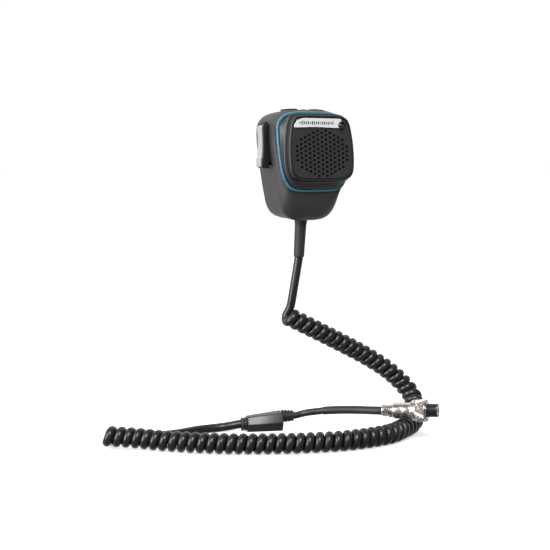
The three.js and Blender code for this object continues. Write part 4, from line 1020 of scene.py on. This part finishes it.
edge_up = add_node(
    knurl_tree, "GeometryNodeTransform", {"Geometry": ridge.outputs[0]}, Rotation=(math.pi / 4, 0, 0)
)
position = add_node(knurl_tree, "GeometryNodeInputPosition")
parts = add_node(knurl_tree, "ShaderNodeSeparateXYZ", {0: position.outputs[0]})
swing = add_node(
    knurl_tree, "ShaderNodeMath", {0: parts.outputs["Z"], 1: parts.outputs["Y"]}, operation="ARCTAN2"
)
joined = add_node(knurl_tree, "GeometryNodeJoinGeometry")
knurl_tree.links.new(given.outputs["Geometry"], joined.inputs[0])
for sign in (1, -1):
    slanted = add_node(knurl_tree, "ShaderNodeMath", {0: given.outputs["Slant"]}, operation="MULTIPLY")
    slanted.inputs[1].default_value = sign
    lay = add_node(knurl_tree, "ShaderNodeCombineXYZ", {"Z": slanted.outputs[0]})
    skewed = add_node(
        knurl_tree, "GeometryNodeTransform", {"Geometry": edge_up.outputs[0], "Rotation": lay.outputs[0]}
    )
    quarter = add_node(knurl_tree, "ShaderNodeMath", {0: swing.outputs[0]}, operation="SUBTRACT")
    quarter.inputs[1].default_value = math.pi / 2
    facing = add_node(knurl_tree, "ShaderNodeCombineXYZ", {"X": quarter.outputs[0]})
    laid = add_node(
        knurl_tree,
        "GeometryNodeInstanceOnPoints",
        {"Points": points.outputs[0], "Instance": skewed.outputs[0], "Rotation": facing.outputs[0]},
    )
    knurl_tree.links.new(laid.outputs[0], joined.inputs[0])
close_tree(knurl_tree, joined.outputs[0], given)

nut_profile = soften(
    [
        (23.9, 6.35), (23.9, 7.4), (24.8, 8.3), (27.1, 8.3), (27.7, 8.75), (36, 8.75), (36.3, 8.5),
        (36.3, 8.1), (32.6, 8.0), (32.4, 7.4), (25.9, 7.4), (25.9, 6.35),
    ],
    0.3,
    hollow=True,
)
nut = solid_object("screw_on_nut", [turned(nut_profile, hollow=True, steps=96)], Matrix())
grow(
    nut, knurl_tree, Ridges=76, Radius=0.00869, Length=0.0076, Width=0.00026, Slant=math.radians(30),
    Middle=0.0317,
    Finish=bright_nickel,
)
spot = Matrix.Translation([v / 1000 for v in PLUG_REAR])
nut.data.transform(spot @ Euler(PLUG_TURN, "XYZ").to_matrix().to_4x4())
fix(nut, bright_nickel, ["coupling_nut"], "coupling_nut", 30)

# ---------- Studio ----------
# A white floor under a white sky, a broad soft light from the left and above, and a camera a little above
# the floor that looks slightly down.
FLOOR = -0.23
REACH = 15
floor_mesh = bpy.data.meshes.new("studio_floor")
corners = [(x * REACH, y * REACH, FLOOR) for x, y in ((-1, -1), (1, -1), (1, 1), (-1, 1))]
floor_mesh.from_pydata(corners, [], [(0, 1, 2, 3)])
floor = bpy.data.objects.new("studio_floor", floor_mesh)
bpy.context.scene.collection.objects.link(floor)
floor_paint, tree, shader = new_material(
    "white_light_table", Base_Color=(0.8, 0.8, 0.8, 1), Roughness=0.9, Specular_IOR_Level=0.0,
    Emission_Color=(1, 1, 1, 1), Emission_Strength=0.62,
)
floor.data.materials.append(floor_paint)
floor.visible_glossy = False
floor.visible_diffuse = False

world = bpy.data.worlds.new("white_studio")
bpy.context.scene.world = world
world.use_nodes = True
world.node_tree.nodes.clear()
room = world.node_tree
around = add_node(room, "ShaderNodeTexCoord")
behind = add_node(room, "ShaderNodeVectorMath", {0: around.outputs["Generated"]}, operation="DOT_PRODUCT")
behind.inputs[1].default_value = (0.37, 0.93, 0.0)  # the white side, which is behind the microphone
walls = add_node(
    room, "ShaderNodeMapRange", {"Value": behind.outputs["Value"]}, interpolation_type="SMOOTHSTEP"
)
DIM_SIDE, WHITE_SIDE = 0.26, 1.05
for label, value in (("From Min", 0.0), ("From Max", 0.6), ("To Min", DIM_SIDE), ("To Max", WHITE_SIDE)):
    walls.inputs[label].default_value = value
glow = add_node(room, "ShaderNodeBackground", {"Strength": walls.outputs[0]}, Color=(1, 1, 1, 1))
add_node(room, "ShaderNodeOutputWorld", {"Surface": glow.outputs[0]})

# Where each lamp stands in metres, its width and height, and its power in watts.
for name, where, width, height, power in (
    ("left_softbox", (-1.1, 0.05, 0.15), 0.5, 0.9, 15),
    ("top_softbox", (-0.5, -0.75, 0.7), 0.5, 0.5, 14),
):
    lamp = bpy.data.lights.new(name, "AREA")
    lamp.shape, lamp.size, lamp.size_y, lamp.energy = "RECTANGLE", width, height, power
    holder = bpy.data.objects.new(name, lamp)
    holder.location = where
    holder.rotation_euler = (Vector((0, -0.03, -0.08)) - Vector(where)).to_track_quat("-Z", "Y").to_euler()
    bpy.context.scene.collection.objects.link(holder)

camera = bpy.data.cameras.new("camera")
camera.sensor_width, camera.lens = 36, 75.27
camera.clip_start, camera.clip_end = 0.05, 60
stand = bpy.data.objects.new("camera", camera)
stand.location = (-0.5455, -0.7647, -0.006)
LOOKS_DOWN, FROM_THE_LEFT = 6, 35
stand.rotation_euler = (math.radians(90 - LOOKS_DOWN), 0, math.radians(-FROM_THE_LEFT))
bpy.context.scene.collection.objects.link(stand)
bpy.context.scene.camera = stand
bpy.context.scene.view_settings.view_transform = "Standard"
